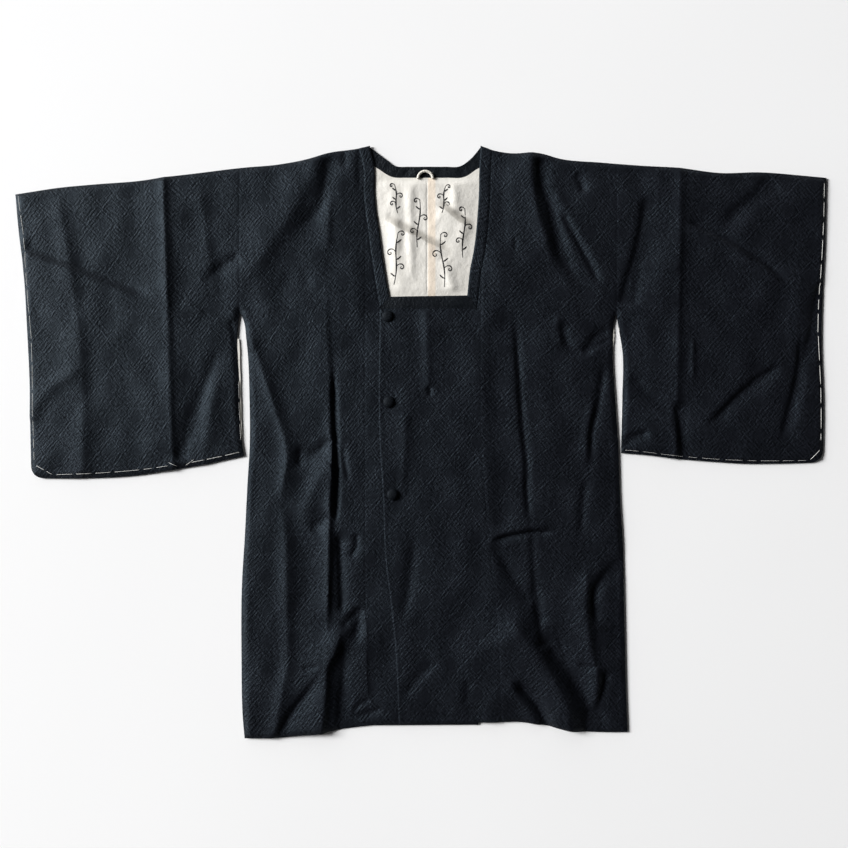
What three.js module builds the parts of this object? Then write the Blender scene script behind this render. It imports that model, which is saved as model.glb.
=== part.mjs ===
// Michiyuki coat, laid flat with its front up. Millimetres.
// +X runs to the wearer's left, +Y to the shoulders, +Z up from the surface it lies on.
// "left" and "right" are the wearer's sides, so a left piece lies at positive X.
//
// Every cloth piece is a wall: a grid of points, each with an outer and an inner place.
// The body panels and the sleeves are single lengths that run up the front, over the
// shoulder fold and down the back, as kimono cloth is cut.

import * as THREE from 'three';

const { smoothstep, lerp, clamp } = THREE.MathUtils;

// ---- Driving dimensions -------------------------------------------------------------

const CLOTH_WALL = 1.2;
const LINING_WALL = 1.0;
const COLLAR_WALL = 2.0; // the collar is a folded, doubled strip
const SEAM_GAP = 0.3; // between two pieces at a seam, and between layers that lie flat
const LAP_GAP = 1.0; // between the two front overlaps, which lie loose
const FOLD_RADIUS = 2.5; // how far a fold's back reaches beyond its last flat row
const FOLD_STEPS = 4;

const HALF_SPAN = 660; // centre back to sleeve end
const HALF_LENGTH = 482; // half of shoulder point to lowest hem
const CENTRE_BACK = 10;
const CENTRE_BACK_HEM = -458;
const BACK_HEM_RISE = 2; // the back's hem stops this far short of the front's
const COLLAR_WIDTH = 18;
const COLLAR_LOWER_EDGE = 217; // of its strip across the front
const UNDER_TOP_EDGE = 233; // the right overlap runs up under that strip
const LINING_LOWER_EDGE = 226;
const LINING_TUCK = 9; // how far the lining runs under the collar's sides
const LINING_EDGE_SHOWS = 2; // how far a hidden lining stands out beyond the crepe
const ARMPIT = { right: { x: -295, y: 212 }, left: { x: 318, y: 209 } };
const SLEEVE_CORNER = 20; // radius at the lower outer corner

const BUTTON_DIAMETER = 19;
const BUTTON_HEIGHT = 6.5;
const LOOP_RADIUS = 12; // of the hanging loop's centre line
const LOOP_THICKNESS = 4.4;
const LOOP_PLACE = { x: 7, y: 428 };

// ---- Tables: the outline of the laid coat -------------------------------------------

const table = (names, rows) =>
  rows.map((row) => Object.fromEntries(names.map((name, i) => [name, row[i]])));

const TOP_EDGE = table(['x', 'y'], [
  [-HALF_SPAN, 403], [-588, 414], [-523, 420], [-458, 425], [-409, 432], [-360, 438],
  [-295, 446], [-230, 452], [-181, 461], [-148, 471], [-100, 478], [-83, HALF_LENGTH],
  [97, HALF_LENGTH], [113, 476], [145, 470], [194, 470], [227, 461], [292, 455],
  [357, 450], [422, 446], [487, 438], [553, 439], [618, 434], [HALF_SPAN, 430],
]);

const HEM = {
  right: table(['x', 'y'], [
    [-287, -HALF_LENGTH], [-225, -480], [-192, -476], [-161, -473], [-130, -467], [-82, -461],
  ]),
  underLap: table(['x', 'y'], [[-82, -461], [93, -460]]),
  overLap: table(['x', 'y'], [[-36, -458], [131, -455]]),
  left: table(['x', 'y'], [
    [131, -455], [171, -456], [197, -460], [222, -464], [246, -469], [292, -472], [336, -472],
  ]),
};

// Side seams, from the hem to the armpit.
const SIDE = {
  right: table(['x', 'y'], [
    [-287, -HALF_LENGTH], [-290, -447], [-292, -355], [-291, -225], [-287, -160], [-282, -62],
    [-279, -13], [-279, 69], [-284, 166], [-289, 199], [ARMPIT.right.x, ARMPIT.right.y],
  ]),
  left: table(['x', 'y'], [
    [336, -472], [334, -420], [331, -290], [328, -160], [324, -94], [321, -5], [316, 69],
    [312, 150], [315, 199], [ARMPIT.left.x, ARMPIT.left.y],
  ]),
};

// Seams between a body panel and its front overlap, from the hem up to the collar.
const LAP_SEAM = {
  right: table(['x', 'y'], [[-82, -461], [-89, -300], [-91, -60], [-91, 150], [-90, 372]]),
  left: table(['x', 'y'], [[131, -455], [124, -293], [111, -160], [98, 0], [97, 150], [98, 282]]),
};

// Free edges of the front overlaps, from the hem up. The right one lies under the left.
const LAP_EDGE = {
  right: table(['x', 'y'], [[93, -460], [90, -200], [82, 60], [73, UNDER_TOP_EDGE]]),
  left: table(['x', 'y'], [
    [-36, -458], [-41, -345], [-49, -262], [-57, -195], [-62, -80], [-67, 0], [-67, COLLAR_LOWER_EDGE],
  ]),
};

// Edge of the neck opening on each side, from the mitred corner up to the shoulder.
const NECK_EDGE = {
  right: table(['x', 'y'], [
    [-51, 236], [-59, 280], [-64, 313], [-68, 346], [-72, 372], [-75, 403], [-76, 448], [-83, 479],
  ]),
  left: table(['x', 'y'], [
    [75, 238], [80, 282], [86, 313], [90, 346], [92, 372], [94, 403], [95, 448], [97, 479],
  ]),
};
const MITRE = { right: { x: -67, y: 219 }, left: { x: 91, y: 219 } };

// The collar behind the neck, from the right shoulder to the left: the free upper edge,
// and the lower edge that is sewn to the back panels and the lining.
const BACK_NECK = table(['upperX', 'upperY', 'lowerX', 'lowerY'], [
  [-57, 460, -72, 446], [-41, 449, -46, 431], [-20, 448, -22, 430],
  [CENTRE_BACK, 448, CENTRE_BACK, 430], [40, 448, 42, 430], [64, 449, 70, 431], [80, 460, 91, 444],
]);

// Sleeves, as their front shows: the outer edge and lower edge.
const SLEEVE = {
  right: {
    outer: table(['x', 'y'], [
      [-634, -39], [-636, 36], [-637, 100], [-641, 183], [-647, 280], [-655, 346], [-HALF_SPAN, 403],
    ]),
    lower: table(['x', 'y'], [
      [-549, -59], [-469, -55], [-409, -46], [-359, -38], [-321, -30], [-288, -23],
    ]),
    inner: table(['x', 'y'], [
      [-288, -23], [-292, 3], [-295, 69], [-297, 199], [ARMPIT.right.x, ARMPIT.right.y],
    ]),
    corner: { x: -634, y: -59 },
  },
  left: {
    outer: table(['x', 'y'], [
      [654, -13], [655, 69], [652, 150], [654, 248], [657, 313], [HALF_SPAN, 430],
    ]),
    lower: table(['x', 'y'], [
      [585, -35], [520, -35], [487, -33], [422, -28], [362, -21], [326, -18],
    ]),
    inner: table(['x', 'y'], [
      [326, -18], [328, 69], [328, 150], [321, 191], [ARMPIT.left.x, ARMPIT.left.y],
    ]),
    corner: { x: 654, y: -33 },
  },
};

// ---- Tables: the largest folds of the front layer -----------------------------------

// A ridge has a positive height. Each runs along its path and fades at both ends, or only
// at its start where it runs out through the hem or a fold edge.
const FOLDS = [
  { name: 'right shoulder ridge', width: 20, height: 5, open: false,
    path: [[-172, 462], [-191, 399], [-220, 363], [-249, 305], [-284, 268]] },
  { name: 'right sleeve press fold', width: 26, height: 3.6, open: true,
    path: [[-417, 425], [-408, 190], [-401, -44]] },
  { name: 'right sleeve outer swell', width: 30, height: 3, open: true,
    path: [[-593, 395], [-567, 269], [-551, 134], [-548, -40]] },
  { name: 'right side ridge', width: 19, height: 4.6, open: true,
    path: [[-262, 170], [-246, 101], [-220, 0], [-223, -130], [-217, -282], [-225, -474]] },
  { name: 'right front pleat, outer lip', width: 17, height: 6.5, open: true,
    path: [[-156, 190], [-160, 0], [-158, -160], [-160, -300], [-170, -470]] },
  { name: 'right front pleat, inner lip', width: 15, height: 4.4, open: true,
    path: [[-120, 160], [-119, -40], [-122, -200], [-118, -300], [-112, -462]] },
  { name: 'front lap swell', width: 42, height: 2.4, open: true,
    path: [[8, 200], [-20, 20], [-14, -200], [30, -330], [40, -455]] },
  { name: 'left front press fold', width: 22, height: 4.4, open: true,
    path: [[160, 440], [150, 218], [162, 0], [174, -150], [178, -300]] },
  { name: 'left shoulder ridge', width: 20, height: 5, open: false,
    path: [[172, 462], [182, 400], [196, 350], [222, 280], [240, 220]] },
  { name: 'left shoulder second ridge', width: 16, height: 4.2, open: false,
    path: [[214, 440], [236, 370], [262, 310], [286, 262]] },
  { name: 'left lower swell', width: 24, height: 6, open: true,
    path: [[170, -270], [188, -340], [222, -420], [238, -464]] },
  { name: 'left side ridge', width: 20, height: 5.4, open: true,
    path: [[252, -60], [264, -223], [277, -362], [272, -468]] },
  { name: 'left front cross fold', width: 16, height: 3.2, open: false,
    path: [[118, -150], [178, -138], [238, -134]] },
  { name: 'left sleeve press fold', width: 26, height: 3.6, open: true,
    path: [[422, 440], [420, 200], [416, -26]] },
  { name: 'left sleeve arc', width: 24, height: 3.4, open: false,
    path: [[430, 352], [490, 334], [535, 300], [590, 262]] },
];

// ---- Outline and grid helpers -------------------------------------------------------

const spot = (x, y) => ({ x, y });
const between = (a, b, t) => spot(lerp(a.x, b.x, t), lerp(a.y, b.y, t));

// How far along a line each of its points lies, from 0 to 1.
function shares(line) {
  const run = [0];
  for (let i = 1; i < line.length; i++) {
    run.push(run[i - 1] + Math.hypot(line[i].x - line[i - 1].x, line[i].y - line[i - 1].y));
  }
  return run.map((length) => length / run[run.length - 1]);
}

// Points of a line at the given shares of its length.
function resample(line, wanted) {
  const own = shares(line);
  return wanted.map((share) => {
    const next = clamp(own.findIndex((value) => value >= share - 1e-9), 1, line.length - 1);
    const part = (share - own[next - 1]) / (own[next] - own[next - 1]);
    return between(line[next - 1], line[next], clamp(part, 0, 1));
  });
}

const evenly = (count) => Array.from({ length: count + 1 }, (_, i) => i / count);
const shifted = (line, dx, dy = 0) => line.map((p) => spot(p.x + dx, p.y + dy));

// Reads a line whose points are in rising order of one coordinate.
function readLine(line, key, value, wanted) {
  const next = clamp(line.findIndex((p) => p[key] >= value), 1, line.length - 1);
  const a = line[next - 1];
  const b = line[next];
  return lerp(a[wanted], b[wanted], clamp((value - a[key]) / (b[key] - a[key]), 0, 1));
}

const heightOfTop = (x) => readLine(TOP_EDGE, 'x', x, 'y');

// The top fold between two places, in the given number of steps, at its last flat row.
function foldLine(fromX, toX, steps) {
  return evenly(steps).map((t) => {
    const x = lerp(fromX, toX, t);
    return spot(x, heightOfTop(x) - FOLD_RADIUS);
  });
}

// A grid of rows between four edge lines. Left and right have a point for each row, and
// bottom and top have one for each column.
function fillGrid(left, right, bottom, top) {
  const across = shares(bottom).map((value, i) => (value + shares(top)[i]) / 2);
  const up = shares(left).map((value, i) => (value + shares(right)[i]) / 2);
  const last = { row: left.length - 1, column: bottom.length - 1 };
  return up.map((t, row) => across.map((u, column) => {
    const sideways = between(left[row], right[row], u);
    const upward = between(bottom[column], top[column], t);
    const corners = between(
      between(left[0], right[0], u),
      between(left[last.row], right[last.row], u),
      t,
    );
    return spot(sideways.x + upward.x - corners.x, sideways.y + upward.y - corners.y);
  }));
}

// ---- Heights of the layers ----------------------------------------------------------

function foldHeight(fold, x, y) {
  const line = fold.path.map(([px, py]) => spot(px, py));
  const run = shares(line);
  let nearest = Infinity;
  let along = 0;
  for (let i = 1; i < line.length; i++) {
    const a = line[i - 1];
    const b = line[i];
    const length2 = (b.x - a.x) ** 2 + (b.y - a.y) ** 2;
    const part = clamp(((x - a.x) * (b.x - a.x) + (y - a.y) * (b.y - a.y)) / length2, 0, 1);
    const foot = between(a, b, part);
    const distance = Math.hypot(x - foot.x, y - foot.y);
    if (distance < nearest) {
      nearest = distance;
      along = lerp(run[i - 1], run[i], part);
    }
  }
  const start = smoothstep(along, 0, 0.2);
  const end = fold.open ? 1 : 1 - smoothstep(along, 0.75, 1);
  return fold.height * start * end * Math.exp(-((nearest / fold.width) ** 2));
}

const drape = (x, y) => FOLDS.reduce((sum, fold) => sum + foldHeight(fold, x, y), 0);

// The front and the collar ride over the lining's edge around the neck opening.
const LINED = { minX: -100, maxX: 116, minY: 194, fade: 24 };

function neckLift(x, y) {
  const outX = Math.max(LINED.minX - x, x - LINED.maxX, 0);
  const outY = Math.max(LINED.minY - y, 0);
  return (LINING_WALL + SEAM_GAP) * (1 - smoothstep(Math.hypot(outX, outY), 0, LINED.fade));
}

// The left front rides over the right overlap, and comes down beside and above it.
const LAPPED = { topY: 244, fadeUp: 56, fadeOut: 28 };

function lapLift(x, y) {
  const seam = readLine(LAP_SEAM.left, 'y', y, 'x');
  const beside = 1 - smoothstep(x, seam, seam + LAPPED.fadeOut);
  const above = 1 - smoothstep(y, LAPPED.topY, LAPPED.topY + LAPPED.fadeUp);
  return (CLOTH_WALL + LAP_GAP) * beside * above;
}

const underHeight = (x, y) => CLOTH_WALL + SEAM_GAP + neckLift(x, y) + drape(x, y);
const overHeight = (x, y) => underHeight(x, y) + lapLift(x, y);

// ---- Cloth walls --------------------------------------------------------------------

class ClothWall {
  constructor(wall) {
    this.wall = wall;
    this.outer = [];
    this.inner = [];
    this.quads = [];
  }

  point(outer, inner) {
    this.outer.push(outer);
    this.inner.push(inner);
    return this.outer.length - 1;
  }

  // A row that faces up, at the height of its underside.
  frontRow(row, height) {
    return row.map(({ x, y }) => {
      const z = height(x, y);
      return this.point([x, y, z + this.wall], [x, y, z]);
    });
  }

  // A row that faces the surface the coat lies on.
  backRow(row) {
    return row.map(({ x, y }) => this.point([x, y, 0], [x, y, this.wall]));
  }

  // The rows of a fold beyond its last flat row, from the front to the back.
  foldRows(row, height) {
    return evenly(FOLD_STEPS).slice(1, -1).map((t) => row.map(({ x, y }) => {
      const front = height(x, y);
      const middle = (front + this.wall) / 2;
      const reach = Math.sin(Math.PI * t);
      const rise = Math.cos(Math.PI * t);
      const innerRise = (front - this.wall) / 2;
      return this.point(
        [x, y + FOLD_RADIUS * reach, middle + (innerRise + this.wall) * rise],
        [x, y + (FOLD_RADIUS - this.wall) * reach, middle + innerRise * rise],
      );
    }));
  }

  join(rows) {
    for (let r = 1; r < rows.length; r++) {
      for (let c = 1; c < rows[r].length; c++) {
        this.quads.push([rows[r - 1][c - 1], rows[r - 1][c], rows[r][c], rows[r][c - 1]]);
      }
    }
  }

  // Outer faces, inner faces turned round, and a wall along every free edge.
  geometry() {
    const count = this.outer.length;
    const index = [];
    const edges = new Map();
    const face = (a, b, c, d) => index.push(a, b, c, a, c, d);
    for (const [a, b, c, d] of this.quads) {
      face(a, b, c, d);
      face(count + a, count + d, count + c, count + b);
      for (const [from, to] of [[a, b], [b, c], [c, d], [d, a]]) {
        if (!edges.delete(`${to} ${from}`)) {
          edges.set(`${from} ${to}`, [from, to]);
        }
      }
    }
    for (const [from, to] of edges.values()) {
      face(from, count + from, count + to, to);
    }
    const geometry = new THREE.BufferGeometry();
    const places = [...this.outer, ...this.inner].flat();
    geometry.setAttribute('position', new THREE.Float32BufferAttribute(places, 3));
    geometry.setIndex(index);
    geometry.computeVertexNormals();
    return geometry;
  }
}

// A single layer that lies on what is below it.
function layer(grid, height, wall = CLOTH_WALL) {
  const cloth = new ClothWall(wall);
  cloth.join(grid.map((row) => cloth.frontRow(row, height)));
  return cloth.geometry();
}

// ---- Materials ----------------------------------------------------------------------

const crepe = () => new THREE.MeshStandardMaterial({ color: 0x1b1f26, roughness: 0.85, metalness: 0 });
const satin = () => new THREE.MeshStandardMaterial({ color: 0x14171c, roughness: 0.55, metalness: 0 });
const silk = () => new THREE.MeshStandardMaterial({ color: 0xebe5da, roughness: 0.6, metalness: 0 });
const cord = () => new THREE.MeshStandardMaterial({ color: 0xd8d0c2, roughness: 0.7, metalness: 0 });

// ---- Body panels --------------------------------------------------------------------

const BODY_LEVELS = 26; // rows of the front, from the hem to the collar's end
const BODY_COLUMNS = 9;
const BACK_ROWS = 6;

// Collar seam line of one side, from the mitred corner to the shoulder.
function collarSeam(side) {
  const out = side === 'left' ? COLLAR_WIDTH : -COLLAR_WIDTH;
  const line = shifted(NECK_EDGE[side], out);
  line[0] = spot(MITRE[side].x, MITRE[side].y);
  const last = line.length - 1;
  line[last] = spot(line[last].x, heightOfTop(line[last].x) - FOLD_RADIUS);
  return line;
}

// Where the overlap's seam meets the collar seam, as a point number of the collar seam.
const LAP_MEETS = { right: 4, left: 1 };

function bodyFrontGrid(side) {
  const toSeam = side === 'left' ? SEAM_GAP / 2 : -SEAM_GAP / 2;
  const collar = shifted(collarSeam(side).slice(LAP_MEETS[side]), 2 * toSeam);
  const lapRows = BODY_LEVELS - collar.length + 1;
  const lap = shifted(resample(LAP_SEAM[side], evenly(lapRows)), toSeam);
  const middle = [...lap.slice(0, -1), ...collar];
  const armhole = spot(ARMPIT[side].x, heightOfTop(ARMPIT[side].x) - FOLD_RADIUS);
  const outside = resample([...SIDE[side], armhole], shares(middle));
  const seamed = outside.map((p) => (p.y < ARMPIT[side].y ? p : spot(p.x - toSeam, p.y)));
  const hem = resample(HEM[side], evenly(BODY_COLUMNS));
  const neckX = middle[middle.length - 1].x;
  if (side === 'left') {
    hem[0] = middle[0];
    return fillGrid(middle, seamed, hem, foldLine(neckX, armhole.x - toSeam, BODY_COLUMNS));
  }
  hem[hem.length - 1] = middle[0];
  return fillGrid(seamed, middle, hem, foldLine(armhole.x - toSeam, neckX, BODY_COLUMNS));
}

// Back neckline of one side, from the shoulder to the centre back.
function backNeckline(side) {
  const out = side === 'left' ? SEAM_GAP : -SEAM_GAP;
  const points = BACK_NECK.map((row) => spot(row.lowerX, row.lowerY));
  const own = side === 'left'
    ? points.filter((p) => p.x > CENTRE_BACK).reverse()
    : points.filter((p) => p.x < CENTRE_BACK);
  const centre = spot(CENTRE_BACK + out / 2, points[3].y - SEAM_GAP);
  return [...shifted(own, out, -SEAM_GAP), centre];
}

function bodyBackGrid(side, fold) {
  const neckline = backNeckline(side);
  const centre = neckline[neckline.length - 1];
  const outerFold = side === 'left' ? fold[fold.length - 1] : fold[0];
  const towardNeck = side === 'left' ? [...fold].reverse() : fold;
  const top = [...towardNeck, ...neckline];
  const outside = resample([...SIDE[side], outerFold], evenly(BACK_ROWS));
  const seam = side === 'left' ? SEAM_GAP / 2 : -SEAM_GAP / 2;
  const seamed = outside.map((p) => (p.y < ARMPIT[side].y ? p : spot(outerFold.x, p.y)));
  const inside = evenly(BACK_ROWS).map((t) => spot(CENTRE_BACK + seam, lerp(CENTRE_BACK_HEM, centre.y, t)));
  const hemLine = side === 'left' ? [...HEM.left].reverse() : HEM.right;
  const hem = resample([...hemLine, inside[0]], shares(top));
  seamed[0] = hem[0];
  const grid = fillGrid(seamed, inside, hem, top);
  const raised = grid.map((row, r) => (r === 0 ? shifted(row, 0, BACK_HEM_RISE) : row));
  return raised.reverse().map((row) => (side === 'left' ? [...row].reverse() : row));
}

function bodyPanel(side) {
  const cloth = new ClothWall(CLOTH_WALL);
  const height = side === 'left' ? overHeight : underHeight;
  const front = bodyFrontGrid(side);
  const fold = front[front.length - 1];
  const frontRows = front.map((row) => cloth.frontRow(row, height));
  const foldRows = cloth.foldRows(fold, height);
  const backRows = bodyBackGrid(side, fold).map((row) => cloth.backRow(row));
  const width = fold.length;
  const shared = backRows.map((row) => (side === 'left' ? row.slice(-width) : row.slice(0, width)));
  const toCentre = backRows.map((row) => (
    side === 'left' ? row.slice(0, 1 - width) : row.slice(width - 1)
  ));
  cloth.join([...frontRows, ...foldRows, ...shared]);
  cloth.join(toCentre);
  return cloth.geometry();
}

// ---- Front overlaps -----------------------------------------------------------------

const POINT_DROP = 10; // how far the overlap's thin point stops short of the two seams' meeting

function rightOverlap() {
  const collar = shifted(collarSeam('right').slice(0, LAP_MEETS.right + 1).reverse(), -SEAM_GAP);
  const seam = shifted(bodySeam('right'), SEAM_GAP / 2);
  collar[0] = spot(collar[0].x + 1.5 * SEAM_GAP, collar[0].y - POINT_DROP);
  seam[seam.length - 1] = collar[0];
  collar[collar.length - 1] = spot(MITRE.right.x - SEAM_GAP, MITRE.right.y - 2 * SEAM_GAP);
  const underStart = spot(NECK_EDGE.right[0].x + 1, UNDER_TOP_EDGE);
  const underCollar = resample([underStart, LAP_EDGE.right[3]], evenly(4));
  const top = [...collar, ...underCollar];
  const edge = resample(LAP_EDGE.right, shares(seam));
  const hem = resample([seam[0], HEM.underLap[1]], shares(top));
  return layer(fillGrid(seam, edge, hem, top), underHeight);
}

function leftOverlap() {
  const collar = shifted(collarSeam('left').slice(0, LAP_MEETS.left + 1), SEAM_GAP);
  const seam = shifted(bodySeam('left'), -SEAM_GAP / 2);
  const point = collar.at(-1);
  collar[collar.length - 1] = spot(point.x - 1.5 * SEAM_GAP, point.y - POINT_DROP);
  seam[seam.length - 1] = collar.at(-1);
  const belowCollar = resample([LAP_EDGE.left.at(-1), spot(collar[0].x, COLLAR_LOWER_EDGE)], evenly(7));
  const top = [...belowCollar, ...collar.slice(1)];
  const edge = resample(LAP_EDGE.left, shares(seam));
  const hem = resample([HEM.overLap[0], seam[0]], shares(top));
  return layer(fillGrid(edge, seam, hem, top), overHeight);
}

// The overlap seam at the same places as on the body panel, so the two run side by side.
function bodySeam(side) {
  const rows = BODY_LEVELS - collarSeam(side).slice(LAP_MEETS[side]).length + 1;
  return resample(LAP_SEAM[side], evenly(rows));
}

// ---- Sleeves ------------------------------------------------------------------------

const SLEEVE_ROWS = 17;
const SLEEVE_COLUMNS = 15;
const CORNER_STEPS = 3;

// Inner edge of a sleeve: free up to the armpit, then along the armhole seam.
function sleeveInside(side) {
  const seamX = ARMPIT[side].x + (side === 'left' ? SEAM_GAP : -SEAM_GAP) / 2;
  const freeEdge = SLEEVE[side].inner.slice(0, -1);
  const armhole = [spot(seamX, ARMPIT[side].y), spot(seamX, heightOfTop(seamX) - FOLD_RADIUS)];
  return resample([...freeEdge, ...armhole], evenly(SLEEVE_ROWS));
}

function sleevePanel(side) {
  const towardBody = side === 'left' ? -1 : 1;
  const shape = SLEEVE[side];
  const turn = evenly(CORNER_STEPS).map((t) => {
    const angle = (t * Math.PI) / 2;
    return spot(
      shape.corner.x + towardBody * SLEEVE_CORNER * (1 - Math.cos(angle)),
      shape.corner.y + SLEEVE_CORNER * (1 - Math.sin(angle)),
    );
  });
  const straight = resample([turn.at(-1), ...shape.lower], evenly(SLEEVE_COLUMNS - CORNER_STEPS));
  const lower = [...turn.slice(0, -1), ...straight];
  const seamX = ARMPIT[side].x - (towardBody * SEAM_GAP) / 2;
  const outerTop = shape.outer.at(-1);
  const outer = [
    turn[0],
    ...shape.outer.slice(1, -1),
    spot(outerTop.x, heightOfTop(outerTop.x) - FOLD_RADIUS),
  ];
  const across = shares(lower);
  const top = across.map((u) => {
    const x = lerp(outerTop.x, seamX, u);
    return spot(x, heightOfTop(x) - FOLD_RADIUS);
  });
  const outside = resample(outer, evenly(SLEEVE_ROWS));
  const inside = sleeveInside(side);
  const front = side === 'left'
    ? fillGrid(inside, outside, [...lower].reverse(), [...top].reverse())
    : fillGrid(outside, inside, lower, top);
  const cloth = new ClothWall(CLOTH_WALL);
  const fold = front.at(-1);
  const back = front.filter((_, r) => r % 6 === 0 || r === SLEEVE_ROWS).reverse();
  cloth.join([
    ...front.map((row) => cloth.frontRow(row, underHeight)),
    ...cloth.foldRows(fold, underHeight),
    ...back.map((row) => cloth.backRow(row)),
  ]);
  return cloth.geometry();
}

// ---- Collar -------------------------------------------------------------------------

// One doubled strip: up the right side of the neck, over the shoulder fold, behind the
// neck, and down the left side.
function collarStrip() {
  const cloth = new ClothWall(COLLAR_WALL);
  const side = (name) => {
    const seam = collarSeam(name);
    return NECK_EDGE[name].map((edge, i) => {
      const atFold = i === seam.length - 1;
      const inside = atFold ? spot(edge.x, heightOfTop(edge.x) - FOLD_RADIUS) : edge;
      return [seam[i], inside];
    });
  };
  const right = side('right');
  const left = side('left').map((row) => [...row]).reverse();
  const back = BACK_NECK.map((row) => [
    spot(row.lowerX, row.lowerY),
    spot(row.upperX, row.upperY),
  ]);
  cloth.join([
    ...right.map((row) => cloth.frontRow(row, underHeight)),
    ...cloth.foldRows(right.at(-1), underHeight),
    ...[right.at(-1), ...back, left[0]].map((row) => cloth.backRow(row)),
    ...cloth.foldRows(left[0], overHeight).reverse(),
    ...left.map((row) => cloth.frontRow(row, overHeight)),
  ]);
  return cloth.geometry();
}

// The strip along the bottom of the neck opening, between the two mitred corners.
function collarFront() {
  const mitreGap = SEAM_GAP * 1.5;
  const columns = evenly(7);
  const lowerY = COLLAR_LOWER_EDGE + SEAM_GAP;
  const bottom = resample([
    spot(MITRE.right.x + mitreGap, lowerY),
    spot(MITRE.left.x - 4 * mitreGap, lowerY),
  ], columns);
  const top = resample([
    spot(NECK_EDGE.right[0].x + mitreGap, NECK_EDGE.right[0].y),
    spot(NECK_EDGE.left[0].x - mitreGap, NECK_EDGE.left[0].y),
  ], columns);
  const grid = fillGrid([bottom[0], top[0]], [bottom.at(-1), top.at(-1)], bottom, top);
  return layer(grid, overHeight, COLLAR_WALL);
}

// ---- Lining in the neck opening -----------------------------------------------------

function liningPanel(side) {
  const out = side === 'left' ? LINING_TUCK : -LINING_TUCK;
  const neckline = backNeckline(side);
  const centre = neckline.at(-1);
  const edge = [
    spot(NECK_EDGE[side][0].x + out, LINING_LOWER_EDGE),
    ...shifted(NECK_EDGE[side].slice(1, -2), out),
    spot(neckline[0].x + out / 2, neckline[0].y + LINING_TUCK / 4),
  ];
  const top = [edge.at(-1), ...neckline];
  const levels = evenly(4);
  const outside = resample(edge, levels);
  const inside = levels.map((t) => spot(centre.x, lerp(LINING_LOWER_EDGE, centre.y, t)));
  const bottom = resample([outside[0], inside[0]], shares(top));
  const lie = () => CLOTH_WALL + SEAM_GAP;
  const grid = side === 'left'
    ? fillGrid(inside, outside, [...bottom].reverse(), [...top].reverse())
    : fillGrid(outside, inside, bottom, top);
  return layer(grid, lie, LINING_WALL);
}

// The edge of a hidden lining, where it stands out beyond the crepe. The points are the
// crepe's own, and it lies toward positive X of them.
function liningEdge(points) {
  const base = () => CLOTH_WALL + SEAM_GAP;
  const near = shifted(points, SEAM_GAP);
  const far = shifted(near, LINING_EDGE_SHOWS);
  return layer(fillGrid(near, far, [near[0], far[0]], [near.at(-1), far.at(-1)]), base, LINING_WALL);
}

// ---- Hanging loop and buttons -------------------------------------------------------

class LoopPath extends THREE.Curve {
  getPoint(t, target = new THREE.Vector3()) {
    const angle = Math.PI * (1 - t);
    return target.set(LOOP_RADIUS * Math.cos(angle), LOOP_RADIUS * Math.sin(angle), 0);
  }
}

function hangingLoop() {
  const section = new THREE.Shape();
  section.absarc(0, 0, LOOP_THICKNESS / 2, 0, 2 * Math.PI);
  return new THREE.ExtrudeGeometry(section, {
    curveSegments: 4,
    steps: 14,
    extrudePath: new LoopPath(),
  });
}

function coveredButton() {
  const radius = BUTTON_DIAMETER / 2;
  const profile = [
    new THREE.Vector2(0, 0),
    new THREE.Vector2(radius * 0.84, 0),
    new THREE.Vector2(radius, BUTTON_HEIGHT * 0.24),
    new THREE.Vector2(radius * 0.95, BUTTON_HEIGHT * 0.5),
    new THREE.Vector2(radius * 0.74, BUTTON_HEIGHT * 0.8),
    new THREE.Vector2(radius * 0.4, BUTTON_HEIGHT * 0.96),
    new THREE.Vector2(0, BUTTON_HEIGHT),
  ];
  return new THREE.LatheGeometry(profile, 18).rotateX(Math.PI / 2);
}

const BUTTONS = [
  { name: 'button_top', x: -54, y: 204 },
  { name: 'button_middle', x: -52, y: 65 },
  { name: 'button_bottom', x: -46, y: -85 },
];

// Height of a button's base: clear of the overlap all round its rim.
function buttonSeat({ x, y }) {
  const rim = evenly(12).map((t) => {
    const angle = 2 * Math.PI * t;
    const reach = BUTTON_DIAMETER / 2;
    return overHeight(x + reach * Math.cos(angle), y + reach * Math.sin(angle));
  });
  return Math.max(...rim, overHeight(x, y)) + CLOTH_WALL + SEAM_GAP;
}

// ---- The coat -----------------------------------------------------------------------

const group = new THREE.Group();

function add(name, geometry, material) {
  const mesh = new THREE.Mesh(geometry, material);
  mesh.name = name;
  group.add(mesh);
  return mesh;
}

for (const side of ['right', 'left']) {
  add(`body_${side}`, bodyPanel(side), crepe());
  add(`sleeve_${side}`, sleevePanel(side), crepe());
  add(`lining_${side}`, liningPanel(side), silk());
}
add('overlap_right', rightOverlap(), crepe());
add('overlap_left', leftOverlap(), crepe());
add('collar_strip', collarStrip(), satin());
add('collar_front', collarFront(), crepe());
const rightSlit = sleeveInside('right').slice(1, 8);
const leftSlit = bodyFrontGrid('left').slice(17, 19).map((row) => row.at(-1));
add('sleeve_lining_right', liningEdge(rightSlit), silk());
add('side_lining_left', liningEdge(leftSlit), silk());

const loop = add('hanging_loop', hangingLoop(), cord());
const loopHeight = CLOTH_WALL + SEAM_GAP + LINING_WALL + SEAM_GAP + LOOP_THICKNESS / 2;
loop.position.set(LOOP_PLACE.x, LOOP_PLACE.y, loopHeight);

for (const button of BUTTONS) {
  add(button.name, coveredButton(), crepe()).position.set(button.x, button.y, buttonSeat(button));
}

export default group;
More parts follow.
